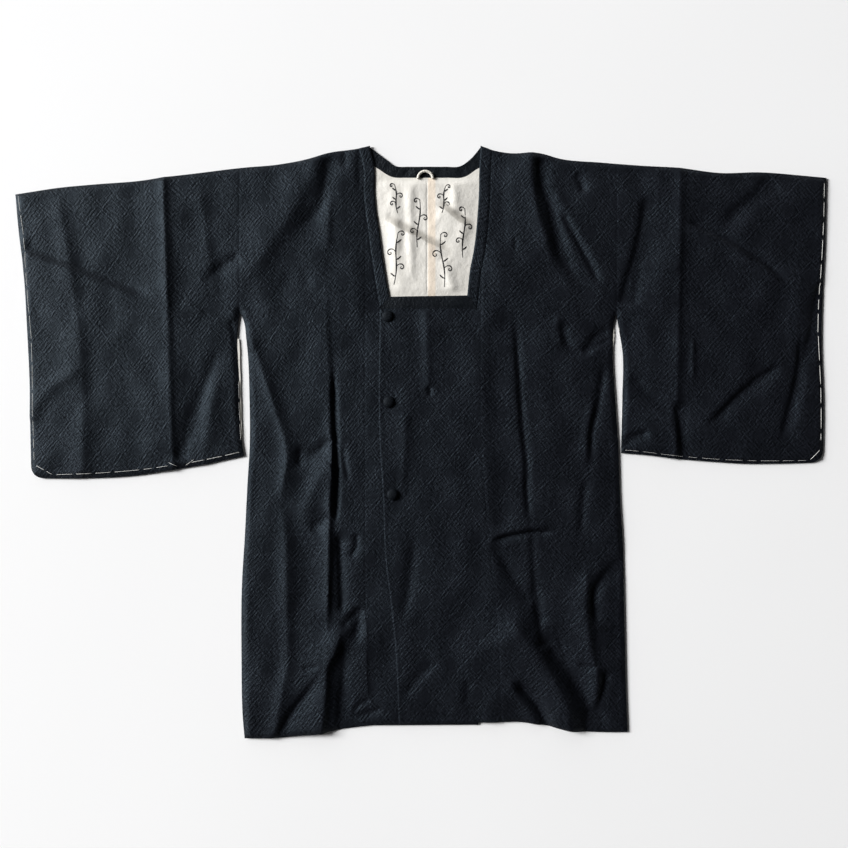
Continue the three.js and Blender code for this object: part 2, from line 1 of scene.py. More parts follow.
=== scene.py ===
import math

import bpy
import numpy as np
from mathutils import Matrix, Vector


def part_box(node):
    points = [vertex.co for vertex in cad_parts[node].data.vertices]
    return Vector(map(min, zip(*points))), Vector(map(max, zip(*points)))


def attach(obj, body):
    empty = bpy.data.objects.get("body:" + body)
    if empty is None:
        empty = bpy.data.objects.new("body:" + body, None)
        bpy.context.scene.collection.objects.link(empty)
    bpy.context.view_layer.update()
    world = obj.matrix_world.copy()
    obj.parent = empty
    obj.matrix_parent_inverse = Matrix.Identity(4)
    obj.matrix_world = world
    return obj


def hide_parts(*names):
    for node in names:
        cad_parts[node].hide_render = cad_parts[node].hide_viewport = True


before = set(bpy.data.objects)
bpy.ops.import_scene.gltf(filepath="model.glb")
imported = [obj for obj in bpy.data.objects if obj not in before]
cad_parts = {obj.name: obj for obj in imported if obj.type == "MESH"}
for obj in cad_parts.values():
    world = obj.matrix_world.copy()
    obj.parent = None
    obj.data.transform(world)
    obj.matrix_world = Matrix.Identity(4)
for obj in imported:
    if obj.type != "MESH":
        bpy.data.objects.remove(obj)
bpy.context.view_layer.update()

# The looks of a michiyuki coat that lies flat with its front up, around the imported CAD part.
#
# Tables and sizes are in millimetres in the CAD frame: +X to the wearer's left, +Y to the
# shoulders, +Z up from the surface the coat lies on. A mesh is turned into metres when it is
# made. "left" and "right" are the wearer's sides, so a left piece lies at positive X.
#
# Each panel is a closed thin wall: a fine grid of points, each with an outer and an inner
# place. The front's height comes from one function of X and Y, so folds run on across seams.

METRES = 0.001
RNG = np.random.default_rng(7)

# ---- Sizes ----

CLOTH_WALL = 1.1  # thicknesses, which are more than real cloth's
LINING_WALL = 0.9
COLLAR_WALL = 2.0
CAD_CLOTH_WALL = 1.2
LAYER_GAP = 0.3
LAP_GAP = 0.5  # between the two front overlaps
LAP_FADE = 28.0  # the left front comes down over this width beside its seam
LAP_FADE_UP = (244, 300)  # and over this span of Y above the overlap
OVER_BACK = CAD_CLOTH_WALL + LAYER_GAP  # height of the underside of what lies on the back
FOLD_RADIUS = 2.5
FOLD_STEPS = 7
FOLD_TURN = 3 * math.pi  # length of the cloth that goes round a fold
LOFT = 2.4  # how far the front stands off the back just inside its edges
LOFT_FADE = 8.0
FULL_LOFT = 1.9  # and how much further it stands off well inside them
FULL_LOFT_FADE = 45.0
NECK_LOFT = 0.2  # the share of the loft that is left at the neck's edge
NECK_LOFT_FADE = (14, 60)
SIDE_LOFT = 0.15  # the share of the full loft that the right front's outer part gets

CENTRE_BACK = 10.0
CENTRE_BACK_HEM = -458.0
CENTRE_BACK_NECK = 430.0
BACK_HEM_RISE = 2.0  # the back's hem lies this much nearer to the shoulders than the front's
BACK_HEM_FADE = 0.03  # the share of the length over which that fades
COLLAR_WIDTH = 18.0
COLLAR_FRONT_WIDTH = 19.0
COLLAR_FRONT_LENGTH = 140.0
COLLAR_LOWER_EDGE = 217.0
UNDER_TOP_EDGE = 233.0
LINING_LOWER_EDGE = 226.0
LINING_LENGTH = 205.0
LINING_TUCK = 9.0  # how far the lining reaches under the collar
LINING_EDGE_TUCK = 4.0  # how far the edge of a hidden lining reaches under the crepe
LINING_EDGE_SHOWS = 2.0
LINING_EDGE_WALL = 0.6
LINING_EDGE_HEIGHT = 1.15
SLEEVE_CORNER = 20.0
SEAM_DIP = 0.4  # depths of the dips along the seams, and their width
FAINT_SEAM_DIP = 0.22
SEAM_WIDTH = 1.7
EDGE_DROP = 0.4  # how much thinner the crepe is at a free edge, and how far in
EDGE_ROUND = 0.9
LAP_RIM = 0.3  # the turned front edge's raised rim, its distance from the edge and its width
LAP_RIM_PLACE = 2.4
LAP_RIM_WIDTH = 1.7
STRIP_DROP = 0.9  # how much thinner the collar is at its folded edge, and how far in
STRIP_ROUND = 1.1
SHARP_ANGLE = 55.0

# ---- Outline of the laid coat ----

# Every line is a row of X and Y.
TOP_EDGE = [
    (-660, 403), (-588, 414), (-523, 420), (-458, 425), (-409, 432), (-360, 438),
    (-295, 446), (-230, 452), (-181, 461), (-148, 471), (-100, 478), (-83, 482),
    (97, 482), (113, 476), (145, 470), (194, 470), (227, 461), (292, 455),
    (357, 450), (422, 446), (487, 438), (553, 439), (618, 434), (660, 430),
]
HEM = {
    "right": [(-287, -482), (-225, -480), (-192, -476), (-161, -473), (-130, -467), (-82, -461)],
    "under": [(-82, -461), (93, -460)],
    "over": [(-36, -458), (131, -455)],
    "left": [(131, -455), (171, -456), (197, -460), (222, -464), (246, -469), (292, -472),
             (336, -472)],
}
SIDE = {
    "right": [(-287, -482), (-290, -447), (-292, -355), (-291, -225), (-287, -160), (-282, -62),
              (-279, -13), (-279, 69), (-284, 166), (-289, 199), (-295, 212)],
    "left": [(336, -472), (334, -420), (331, -290), (328, -160), (324, -94), (321, -5),
             (316, 69), (312, 150), (315, 199), (318, 209)],
}
LAP_SEAM = {
    "right": [(-82, -461), (-89, -300), (-91, -60), (-91, 150), (-90, 372)],
    "left": [(131, -455), (124, -293), (111, -160), (98, 0), (97, 150), (98, 282)],
}
LAP_EDGE = {
    "right": [(93, -460), (90, -200), (82, 60), (73, UNDER_TOP_EDGE)],
    "left": [(-36, -458), (-41, -345), (-49, -262), (-57, -195), (-62, -80), (-67, 0),
             (-67, COLLAR_LOWER_EDGE)],
}
NECK_EDGE = {
    "right": [(-51, 236), (-59, 280), (-64, 313), (-68, 346), (-72, 372), (-75, 403),
              (-76, 448), (-83, 479)],
    "left": [(75, 238), (80, 282), (86, 313), (90, 346), (92, 372), (94, 403), (95, 448),
             (97, 479)],
}
MITRE = {"right": (-67, 219), "left": (91, 219)}
BACK_NECK = {
    "upper": [(-57, 460), (-41, 449), (-20, 448), (CENTRE_BACK, 448), (40, 448), (64, 449),
              (80, 460)],
    "lower": [(-72, 446), (-46, 431), (-22, 430), (CENTRE_BACK, CENTRE_BACK_NECK), (42, 430),
              (70, 431), (91, 444)],
}
SLEEVE = {
    "right": {
        "outer": [(-634, -59), (-636, 36), (-637, 100), (-641, 183), (-647, 280), (-655, 346),
                  (-660, 403)],
        "lower": [(-634, -59), (-549, -59), (-469, -55), (-409, -46), (-359, -38),
                  (-321, -30), (-288, -23)],
        "inner": [(-288, -23), (-292, 3), (-295, 69), (-297, 199), (-295, 212)],
    },
    "left": {
        "outer": [(654, -33), (655, 69), (652, 150), (654, 248), (657, 313), (660, 430)],
        "lower": [(654, -33), (585, -35), (520, -35), (487, -33), (422, -28), (362, -21),
                  (326, -18)],
        "inner": [(326, -18), (328, 69), (328, 150), (321, 191), (318, 209)],
    },
}
ARMPIT = {"right": (-295, 212), "left": (318, 209)}
BUTTONS = {"button_top": (-54, 204), "button_middle": (-52, 65), "button_bottom": (-46, -85)}

# Where the woven figure starts on each panel.
FIGURE_START = {
    "body_right": (-138, 131), "body_left": (145, 178), "overlap_right": (-59, 160),
    "overlap_left": (-59, 196), "sleeve_right": (-392, 341), "sleeve_left": (442, 368),
}
SIDES = ("right", "left")
SIGN = {"left": 1, "right": -1}

# ---- Folds and creases ----

# Each row: height (a trough's is negative), width on the right hand of someone who walks
# along the path, width on the left hand, crest (1 is a sharp crease and 2 a round fold),
# the shares of the path that it fades in and out over, and the path.
CREASES = [
    # right sleeve
    (2.4, 8, 18, 1.4, 0, 0.35, [(-417, 427), (-412, 280), (-408, 170)]),
    (3.7, 30, 6, 1.1, 0, 0, [(-417, 427), (-409, 199), (-405, 60), (-401, -48)]),
    (3.0, 24, 12, 1.6, 0.1, 0, [(-593, 405), (-567, 269), (-551, 134), (-548, -42)]),
    (4.2, 24, 8, 1.4, 0.05, 0.25, [(-647, 305), (-576, 280), (-483, 242), (-432, 222)]),
    (-3.6, 8, 13, 1.5, 0.05, 0.25, [(-646, 319), (-574, 294), (-481, 256), (-428, 236)]),
    (1.6, 10, 5, 1.5, 0.2, 0.3, [(-386, 231), (-349, 205)]),
    (2.2, 16, 10, 1.6, 0.1, 0.25, [(-359, 412), (-341, 282), (-330, 223)]),
    (-3.2, 8, 13, 1.6, 0.15, 0.3, [(-292, 307), (-330, 280), (-358, 256)]),
    (2.4, 14, 12, 1.8, 0.2, 0.1, [(-545, 125), (-611, 78), (-640, 30)]),
    (-4.8, 13, 14, 1.6, 0.2, 0.05, [(-326, 161), (-359, 68), (-393, -32)]),
    (2.2, 12, 16, 1.6, 0.25, 0, [(-331, 112), (-345, 30), (-353, -28)]),
    (-3.0, 4, 5, 1.5, 0.1, 0.4, [(-309, 200), (-303, 170), (-297, 140)]),
    # right shoulder
    (4.6, 32, 17, 1.8, 0, 0.4, [(-166, 472), (-179, 434), (-197, 399), (-218, 362), (-240, 329),
        (-265, 294), (-292, 268), (-330, 250)]),
    (-3.8, 10, 15, 1.6, 0.1, 0.3, [(-150, 466), (-156, 416), (-164, 383), (-188, 357),
        (-207, 345)]),
    (-2.0, 4, 5, 1.5, 0.05, 0.4, [(-125, 474), (-123, 440)]),
    (-1.8, 4, 5, 1.5, 0.05, 0.3, [(-102, 476), (-99, 405)]),
    (2.0, 12, 7, 1.7, 0.3, 0.3, [(-146, 410), (-151, 350), (-152, 300)]),
    (-2.7, 16, 16, 2.0, 0.3, 0.3, [(-170, 262), (-200, 258), (-232, 270)]),
    # right front
    (2.0, 26, 4, 1.3, 0.3, 0.1, [(-155, 300), (-151, 166), (-146, 68), (-144, -31), (-148, -111),
        (-149, -192), (-151, -260), (-152, -330)]),
    (3.6, 12, 3.5, 1.2, 0.3, 0.15, [(-146, 80), (-144, -31), (-147, -100), (-148, -192),
        (-150, -258), (-150, -310)]),
    (-8.5, 3.5, 4, 1.6, 0.2, 0.2, [(-142, 122), (-140, 20), (-138, -31), (-138, -140)]),
    (9.0, 50, 8, 1.35, 0.2, 0, [(-128, -296), (-137, -335), (-151, -362), (-154, -404),
        (-161, -478)]),
    (2.6, 10, 20, 1.3, 0.2, 0, [(-118, -286), (-127, -350), (-137, -404), (-145, -478)]),
    (-5.8, 12, 15, 1.5, 0.25, 0, [(-124, -300), (-127, -380), (-127, -472)]),
    (-4.6, 4, 9, 1.4, 0.15, 0.1, [(-134, -143), (-131, -209), (-129, -280)]),
    (-2.7, 4, 4, 1.5, 0.3, 0.3, [(-128, 3), (-121, -46), (-115, -72)]),
    (-3.0, 4, 5, 1.5, 0.1, 0.3, [(-106, -148), (-104, -168), (-118, -192)]),
    (1.9, 30, 4, 1.3, 0.15, 0.15, [(-97, -262), (-90, -290), (-88, -357), (-85, -425)]),
    (-4.5, 9, 10, 1.8, 0.2, 0.4, [(-102, -266), (-102, -300), (-112, -330)]),
    (-2.7, 5, 6, 1.5, 0.1, 0.2, [(-95, -268), (-112, -284), (-129, -303)]),
    (-2.4, 4, 4, 1.5, 0.1, 0.2, [(-83, -419), (-101, -427), (-111, -445)]),
    (-2.4, 5, 4, 1.5, 0.15, 0.15, [(-62, -433), (-85, -441), (-116, -448)]),
    (-4.0, 5, 16, 1.5, 0.45, 0, [(-154, -362), (-187, -409), (-209, -437), (-236, -482)]),
    (-1.6, 4, 4, 1.5, 0.2, 0.2, [(-165, -362), (-192, -369)]),
    (2.2, 9, 60, 1.5, 0.35, 0, [(-277, -60), (-280, -250), (-275, -478)]),
    (4.0, 14, 12, 1.5, 0.1, 0, [(-227, -96), (-221, -134), (-218, -230), (-217, -282),
        (-218, -370), (-224, -400), (-236, -480)]),
    (4.6, 9, 12, 1.4, 0.1, 0.2, [(-284, 185), (-262, 130), (-249, 91), (-236, 51), (-221, 5),
        (-217, -26), (-222, -57), (-227, -110)]),
    (-3.4, 6, 7, 1.6, 0.3, 0.3, [(-196, -5), (-197, -45)]),
    (-3.0, 9, 12, 1.8, 0.1, 0.3, [(-145, 5), (-173, -19), (-198, -30)]),
    (3.0, 14, 14, 1.8, 0.05, 0.3, [(-146, -34), (-173, -75), (-195, -135)]),
    (-3.0, 10, 12, 1.8, 0.1, 0.3, [(-146, -119), (-182, -145)]),
    # front overlap
    (1.7, 9, 8, 1.6, 0.05, 0.12, [(8, 216), (10, 148), (11, 106), (13, 80)]),
    (-2.7, 3, 4, 1.5, 0.2, 0.2, [(13, 92), (15, 74)]),
    (1.6, 10, 8, 1.6, 0.1, 0.3, [(-25, 52), (-25, 8), (-28, -47), (-30, -100)]),
    (-2.4, 10, 9, 1.8, 0.3, 0.3, [(-11, -140), (-17, -218), (-24, -263), (-37, -308)]),
    (-2.0, 10, 10, 1.8, 0.3, 0.2, [(33, -350), (-7, -385), (-28, -417)]),
    (1.6, 12, 12, 1.8, 0.3, 0.3, [(157, -339), (145, -327), (127, -321), (109, -330), (85, -355)]),
    (-1.9, 6, 8, 1.6, 0.3, 0.3, [(75, -380), (74, -430)]),
    # left shoulder
    (6.4, 26, 8, 1.5, 0, 0.35, [(180, 474), (181, 421), (190, 370), (203, 330), (215, 290),
        (230, 262)]),
    (-6.5, 7, 12, 1.5, 0.05, 0.25, [(192, 462), (196, 421), (209, 385), (220, 339), (232, 298),
        (245, 274), (262, 248)]),
    (1.4, 14, 6, 1.5, 0.15, 0.25, [(216, 415), (232, 385), (258, 340), (281, 299), (298, 268)]),
    (-4.4, 4, 8, 1.4, 0.15, 0.2, [(226, 378), (253, 328), (271, 295), (293, 250)]),
    (-4.6, 4, 8, 1.4, 0.2, 0.2, [(252, 437), (266, 404)]),
    (-1.6, 3, 3, 1.5, 0.2, 0.2, [(153, 335), (154, 308)]),
    # left front
    (-4.0, 3.5, 9, 1.4, 0.25, 0.1, [(151, 225), (156, 148), (162, 59), (165, 20), (171, -34),
        (171, -77), (176, -135)]),
    (0.8, 24, 9, 1.6, 0.25, 0.1, [(158, 235), (163, 148), (169, 59), (172, 20), (178, -34),
        (178, -77), (183, -140)]),
    (-3.2, 8, 7, 1.6, 0.15, 0.1, [(228, 200), (232, 176), (239, 158), (255, 147), (265, 149),
        (282, 170), (309, 186)]),
    (-2.2, 5, 6, 1.6, 0.2, 0.1, [(262, 139), (285, 156), (309, 166)]),
    (2.4, 10, 8, 1.8, 0.3, 0.3, [(222, 215), (224, 185), (228, 150)]),
    (-3.5, 6, 7, 1.5, 0.15, 0.3, [(298, 130), (288, 61), (280, 30), (274, -55)]),
    (3.0, 10, 6, 1.5, 0.25, 0.3, [(283, 75), (271, 20), (270, -45)]),
    (-2.4, 7, 7, 1.6, 0.3, 0.3, [(272, -50), (264, -90), (261, -160)]),
    (-6.0, 2.5, 5, 1.4, 0.2, 0.2, [(217, -146), (172, -147), (142, -153), (110, -162)]),
    (1.6, 10, 5, 1.6, 0.2, 0.2, [(215, -138), (172, -140), (140, -146), (112, -154)]),
    (-3.4, 8, 14, 1.7, 0.15, 0.15, [(112, -163), (130, -187), (148, -218), (172, -252),
        (188, -262)]),
    (1.5, 12, 14, 1.6, 0.2, 0.2, [(190, -120), (190, -187), (197, -248), (205, -321), (208, -345)]),
    (-3.0, 6, 20, 1.6, 0.2, 0.1, [(181, -127), (183, -187), (187, -248), (194, -300)]),
    (11.5, 42, 20, 1.6, 0.25, 0, [(122, -262), (139, -287), (160, -310), (181, -335),
        (199, -358), (218, -393), (235, -430), (243, -478)]),
    (-8.0, 16, 13, 1.6, 0.25, 0, [(196, -300), (212, -335), (232, -360), (254, -396),
        (274, -430), (284, -478)]),
    (-4.0, 7, 16, 1.5, 0.3, 0.05, [(183, -225), (189, -262), (194, -300), (199, -335)]),
    (5.5, 20, 8, 1.5, 0.15, 0.1, [(270, -195), (270, -279), (276, -339), (283, -365),
        (286, -420), (287, -455)]),
    (-2.4, 3.5, 3.5, 1.4, 0.2, 0.2, [(290, -361), (281, -365), (254, -360)]),
    (-4.8, 5, 10, 1.5, 0.15, 0.1, [(299, -366), (299, -385), (293, -405), (284, -445),
        (280, -470)]),
    (-8.0, 8, 9, 1.5, 0.25, 0, [(150, -385), (163, -399), (184, -421), (197, -442), (208, -472)]),
    (3.0, 14, 10, 1.6, 0.25, 0, [(139, -378), (152, -405), (172, -430), (188, -466)]),
    (-5.5, 7, 12, 1.6, 0, 0.2, [(334, -190), (318, -203), (296, -221), (281, -245), (281, -279),
        (288, -300)]),
    (-1.9, 3, 3, 1.5, 0.2, 0.2, [(224, -317), (232, -340)]),
    # left sleeve
    (3.3, 20, 6, 1.2, 0, 0, [(422, 446), (420, 300), (418, 199), (416, 60), (414, -30)]),
    (-4.5, 6, 26, 1.6, 0.1, 0.05, [(366, 400), (350, 307), (335, 261), (327, 222)]),
    (-2.0, 4, 9, 1.5, 0.2, 0.1, [(351, 290), (349, 255), (345, 222)]),
    (1.6, 5, 6, 1.6, 0.1, 0.2, [(420, 281), (385, 284), (348, 286)]),
    (-5.6, 4, 9, 1.4, 0.12, 0.25, [(431, 361), (454, 349), (473, 341), (500, 328), (535, 307),
        (562, 288), (585, 268), (603, 250)]),
    (2.8, 14, 4, 1.4, 0.12, 0.3, [(428, 355), (451, 343), (470, 335), (497, 322), (532, 301),
        (559, 282), (582, 262), (600, 244)]),
    (-4.0, 11, 20, 2.0, 0.1, 0.3, [(575, 430), (539, 395), (508, 368), (490, 338)]),
    (-4.4, 5, 12, 1.6, 0.1, 0.2, [(650, 260), (646, 245), (635, 176), (619, 125)]),
    (-4.8, 5, 13, 1.6, 0.2, 0.2, [(615, 180), (615, 130), (604, 73), (585, 0)]),
    (-4.6, 4, 12, 1.5, 0.15, 0.25, [(588, 128), (542, 99), (516, 77), (481, 42), (460, 24)]),
    (2.2, 4, 4, 1.5, 0.25, 0.25, [(441, 176), (441, 96)]),
    (-2.7, 9, 9, 1.8, 0.2, 0.2, [(339, 112), (377, 70), (414, 44)]),
    (-6.0, 5, 14, 1.5, 0.2, 0, [(414, 68), (420, 20), (428, -28)]),
    (-4.4, 5, 9, 1.6, 0.2, 0.1, [(373, 17), (345, 8), (325, -6)]),
]

# Soft troughs of the back panels, which lie under the front and rest on the surface.
BACK_CREASES = [
    (0.8, 22, 14, 1.6, 0.1, 0.1, [(-150, 380), (-146, 60), (-152, -420)]),
    (0.6, 14, 20, 1.6, 0.2, 0.1, [(-60, 330), (-72, 0), (-66, -400)]),
    (0.8, 16, 18, 1.6, 0.1, 0.1, [(160, 400), (172, 20), (190, -420)]),
    (0.6, 20, 12, 1.6, 0.2, 0.2, [(72, 300), (80, -60), (96, -380)]),
    (0.7, 12, 16, 1.6, 0.2, 0.2, [(-250, 150), (-228, -120), (-240, -400)]),
    (0.7, 16, 12, 1.6, 0.2, 0.2, [(270, 120), (262, -180), (276, -400)]),
    (0.9, 24, 10, 1.4, 0, 0, [(-417, 420), (-409, 199), (-401, -40)]),
    (0.9, 22, 10, 1.4, 0, 0, [(422, 440), (419, 199), (414, -20)]),
    (0.6, 14, 14, 1.8, 0.2, 0.2, [(-590, 340), (-520, 240), (-470, 120)]),
    (0.6, 14, 14, 1.8, 0.2, 0.2, [(600, 330), (540, 220), (480, 90)]),
]

# Folds of the silk lining in the neck opening.
LINING_CREASES = [
    (1.9, 10, 6, 1.5, 0.1, 0.2, [(-16, 425), (-17, 340), (-14, 250)]),
    (1.6, 9, 10, 1.7, 0.2, 0.2, [(-44, 420), (-40, 340), (-42, 262)]),
    (-1.1, 7, 7, 1.6, 0.2, 0.2, [(-29, 410), (-28, 300)]),
    (3.0, 30, 8, 1.4, 0.25, 0.4, [(-74, 368), (-44, 352), (-16, 336), (22, 314), (60, 290)]),
    (-2.0, 10, 5, 1.5, 0.1, 0.2, [(-60, 374), (-34, 361), (-6, 346), (30, 325), (56, 310)]),
    (2.8, 26, 8, 1.4, 0.2, 0.2, [(28, 385), (56, 366), (90, 344)]),
    (-2.2, 8, 4, 1.5, 0.1, 0.05, [(36, 391), (62, 374), (90, 356)]),
    (2.2, 9, 8, 1.7, 0.2, 0.2, [(52, 425), (56, 395), (58, 370)]),
    (2.2, 8, 10, 1.7, 0.2, 0.2, [(34, 300), (46, 268), (54, 240)]),
    (1.4, 9, 8, 1.7, 0.2, 0.2, [(-52, 330), (-46, 290), (-47, 250)]),
]


# ---- Lines and grids ----

def lengths(line):
    """How far along a line each of its points lies."""
    steps = np.hypot(*np.diff(line, axis=0).T)
    return np.concatenate([[0.0], np.cumsum(steps)])


def smooth_line(points, step=3.0):
    """Points about a step apart on a smooth line through the given ones."""
    line = np.asarray(points, float)
    run = lengths(line)
    wanted = np.linspace(0, run[-1], max(2, round(run[-1] / step) + 1))
    if len(line) == 2:
        return at(line, wanted / run[-1])
    slopes = np.gradient(line, run, axis=0)
    i = np.clip(np.searchsorted(run, wanted) - 1, 0, len(line) - 2)
    gap = (run[i + 1] - run[i])[:, None]
    t = (wanted - run[i])[:, None] / gap
    return (
        (2 * t**3 - 3 * t**2 + 1) * line[i]
        + (t**3 - 2 * t**2 + t) * gap * slopes[i]
        + (3 * t**2 - 2 * t**3) * line[i + 1]
        + (t**3 - t**2) * gap * slopes[i + 1]
    )


def at(line, shares):
    """Points of a line at the given shares of its length."""
    line = np.asarray(line, float)
    run = lengths(line)
    where = np.asarray(shares) * run[-1]
    return np.stack([np.interp(where, run, line[:, 0]), np.interp(where, run, line[:, 1])], 1)


def chain(*lines):
    """Lines that follow one another, as one line without doubled points."""
    line = np.concatenate([np.asarray(part, float) for part in lines])
    keep = np.concatenate([[True], np.hypot(*np.diff(line, axis=0).T) > 1e-6])
    return line[keep]


def graded(length, step):
    """Shares for rows a step apart, with closer ones beside both ends."""
    close = np.array([0.0, 0.6, 1.5, 3.0])
    count = max(2, round((length - 2 * close[-1]) / step))
    middle = np.linspace(close[-1], length - close[-1], count + 1)
    return np.concatenate([close[:-1], middle, (length - close[:-1])[::-1]]) / length


def fill_grid(left, right, bottom, top, up, across):
    """A grid of rows between four edge lines, with shares up and across."""
    t = up[:, None, None]
    u = across[None, :, None]
    sideways = left[:, None] * (1 - u) + right[:, None] * u
    upward = bottom[None] * (1 - t) + top[None] * t
    low = bottom[0] * (1 - u) + bottom[-1] * u
    high = top[0] * (1 - u) + top[-1] * u
    return sideways + upward - (low * (1 - t) + high * t)


TOP_LINE = smooth_line(TOP_EDGE)


def height_of_top(x):
    return np.interp(x, TOP_LINE[:, 0], TOP_LINE[:, 1])


def fold_line(from_x, to_x, shares):
    x = from_x + (to_x - from_x) * np.asarray(shares)
    return np.stack([x, height_of_top(x) - FOLD_RADIUS], 1)


def nearest(line, x, y, reach):
    """Distance, signed toward the left hand, and share along a line, of points within reach.

    Returns (numbers of the points within reach, signed distance, share)."""
    low = line.min(0) - reach
    high = line.max(0) + reach
    near = np.flatnonzero((x > low[0]) & (x < high[0]) & (y > low[1]) & (y < high[1]))
    best = np.full(len(near), np.inf)
    side = np.zeros(len(near))
    share = np.zeros(len(near))
    run = lengths(line)
    for i in range(len(line) - 1):
        from_x = x[near] - line[i][0]
        from_y = y[near] - line[i][1]
        dx, dy = line[i + 1] - line[i]
        part = np.clip((from_x * dx + from_y * dy) / (dx * dx + dy * dy), 0, 1)
        squared = (from_x - part * dx) ** 2 + (from_y - part * dy) ** 2
        closer = squared < best
        best[closer] = squared[closer]
        side[closer] = np.sign(dx * from_y - dy * from_x)[closer]
        share[closer] = ((run[i] + part * (run[i + 1] - run[i])) / run[-1])[closer]
    return near, np.sqrt(best) * np.where(side == 0, 1, side), share


def smoothstep(value, low, high):
    t = np.clip((value - low) / (high - low), 0, 1)
    return t * t * (3 - 2 * t)


def bell(distance, width):
    """One at no distance, and soft to nothing beyond about twice the width."""
    return np.exp(-((distance / width) ** 2))


# ---- Heights ----

def collar_seam(side):
    """The seam between the collar and the front, from the mitred corner to the shoulder."""
    out = SIGN[side] * COLLAR_WIDTH
    line = [(x + out, y) for x, y in NECK_EDGE[side]]
    line[0] = MITRE[side]
    end = line[-1][0]
    line[-1] = (end, float(height_of_top(end)) - FOLD_RADIUS)
    return line


CREASE_REACH = 2.6  # in widths
SEAM_REACH = 8
LAP_MEETS = {"right": 4, "left": 1}  # the point of the collar's seam where the overlap ends
ARMHOLE = {
    side: [(x, y), (x, float(height_of_top(x)) - FOLD_RADIUS)] for side, (x, y) in ARMPIT.items()
}
SEAMS = [smooth_line(collar_seam(side), 8) for side in SIDES]
SEAMS.append(np.array([MITRE[side] for side in SIDES], float))
FAINT_SEAMS = [smooth_line(LAP_SEAM[side], 12) for side in SIDES]
FAINT_SEAMS += [np.array(ARMHOLE[side], float) for side in SIDES]
EDGES = [smooth_line(line, 10) for line in (
    HEM["right"], HEM["under"], HEM["left"], *SIDE.values(), TOP_EDGE,
    *SLEEVE["right"].values(), *SLEEVE["left"].values(),
)]
NECK = [smooth_line(NECK_EDGE[side], 10) for side in SIDES]
NECK.append(np.array([NECK_EDGE[side][0] for side in SIDES], float))

# Long soft waves of the whole front: wavelengths, directions and phases drawn once.
# Each wave has a height, a number of radians a millimetre, a heading and a phase.
WAVES = [
    (height, 2 * math.pi / RNG.uniform(*pitch), RNG.uniform(0, math.pi),
     RNG.uniform(0, 2 * math.pi))
    for height, pitch, count in ((0.26, (70, 160), 9), (0.13, (34, 66), 10))
    for _ in range(count)
]


def creased(table, x, y):
    """The summed heights of a table's folds and creases."""
    total = np.zeros_like(x)
    for height, right_hand, left_hand, crest, fade_in, fade_out, path in table:
        reach = CREASE_REACH * max(right_hand, left_hand)
        near, away, share = nearest(smooth_line(path, 9), x, y, reach)
        width = np.where(away > 0, left_hand, right_hand)
        profile = np.exp(-np.abs(away / width) ** crest)
        if fade_in:
            profile *= smoothstep(share, 0, fade_in)
        if fade_out:
            profile *= 1 - smoothstep(share, 1 - fade_out, 1)
        total[near] += height * profile
    return total


def distance_to(lines, x, y, reach):
    """Distance to the nearest of some lines, and no more than reach."""
    found = np.full_like(x, reach)
    for line in lines:
        near, away, _ = nearest(line, x, y, reach)
        found[near] = np.minimum(found[near], np.abs(away))
    return found


def waves(x, y):
    total = np.zeros_like(x)
    for height, pitch, heading, phase in WAVES:
        along = x * math.cos(heading) + 0.6 * y * math.sin(heading)
        total += height * np.sin(pitch * along + phase)
    return total


def drape(x, y):
    """How far the front stands off the back: folds, creases and soft waves."""
    edge = distance_to(EDGES, x, y, FULL_LOFT_FADE)
    neck = distance_to(NECK, x, y, NECK_LOFT_FADE[1])
    # Below the chest the outer part of the right front hardly gets the full loft.
    beside_sleeve = smoothstep(-x, 282, 290) * smoothstep(y, -80, -60)
    right_side = smoothstep(-x, 138, 165) * smoothstep(-y, -180, -40) * (1 - beside_sleeve)
    well_inside = smoothstep(edge, 6, FULL_LOFT_FADE) * (1 - (1 - SIDE_LOFT) * right_side)
    loft = LOFT * smoothstep(edge, 0, LOFT_FADE) + FULL_LOFT * well_inside
    loft *= NECK_LOFT + (1 - NECK_LOFT) * smoothstep(neck, *NECK_LOFT_FADE)
    raw = loft + creased(CREASES, x, y) + waves(x, y) * smoothstep(edge, 0, 12)
    softness = 0.5  # keeps the height above nothing with a soft bend
    return softness * np.logaddexp(0, raw / softness)


# The part around the neck opening that has lining below it, and the part without creases in
# the back: each goes on up to the shoulders.
LINED = {"left": -100, "right": 116, "low": 194, "fade": 24}
BACK_SMOOTH = {"left": -110, "right": 126, "low": 190}


def neck_lift(x, y):
    """The front and the collar ride over the lining's edge around the neck opening."""
    out_x = np.maximum(np.maximum(LINED["left"] - x, x - LINED["right"]), 0)
    out_y = np.maximum(LINED["low"] - y, 0)
    away = np.hypot(out_x, out_y)
    return (LINING_WALL + LAYER_GAP) * (1 - smoothstep(away, 0, LINED["fade"]))


def lap_lift(x, y):
    """The left front rides over the right overlap, and comes down beside and above it."""
    seam = np.array(LAP_SEAM["left"], float)
    seam_x = np.interp(y, seam[:, 1], seam[:, 0])
    beside = 1 - smoothstep(x, seam_x, seam_x + LAP_FADE)
    above = 1 - smoothstep(y, *LAP_FADE_UP)
    return (CLOTH_WALL + LAP_GAP) * beside * above


def under_height(x, y):
    """Height of the underside of the front's lower layer."""
    base = OVER_BACK + neck_lift(x, y) + drape(x, y)
    seam = SEAM_DIP * bell(distance_to(SEAMS, x, y, SEAM_REACH), SEAM_WIDTH)
    faint = FAINT_SEAM_DIP * bell(distance_to(FAINT_SEAMS, x, y, SEAM_REACH), SEAM_WIDTH)
    return base - seam - faint


def over_height(x, y):
    return under_height(x, y) + lap_lift(x, y)


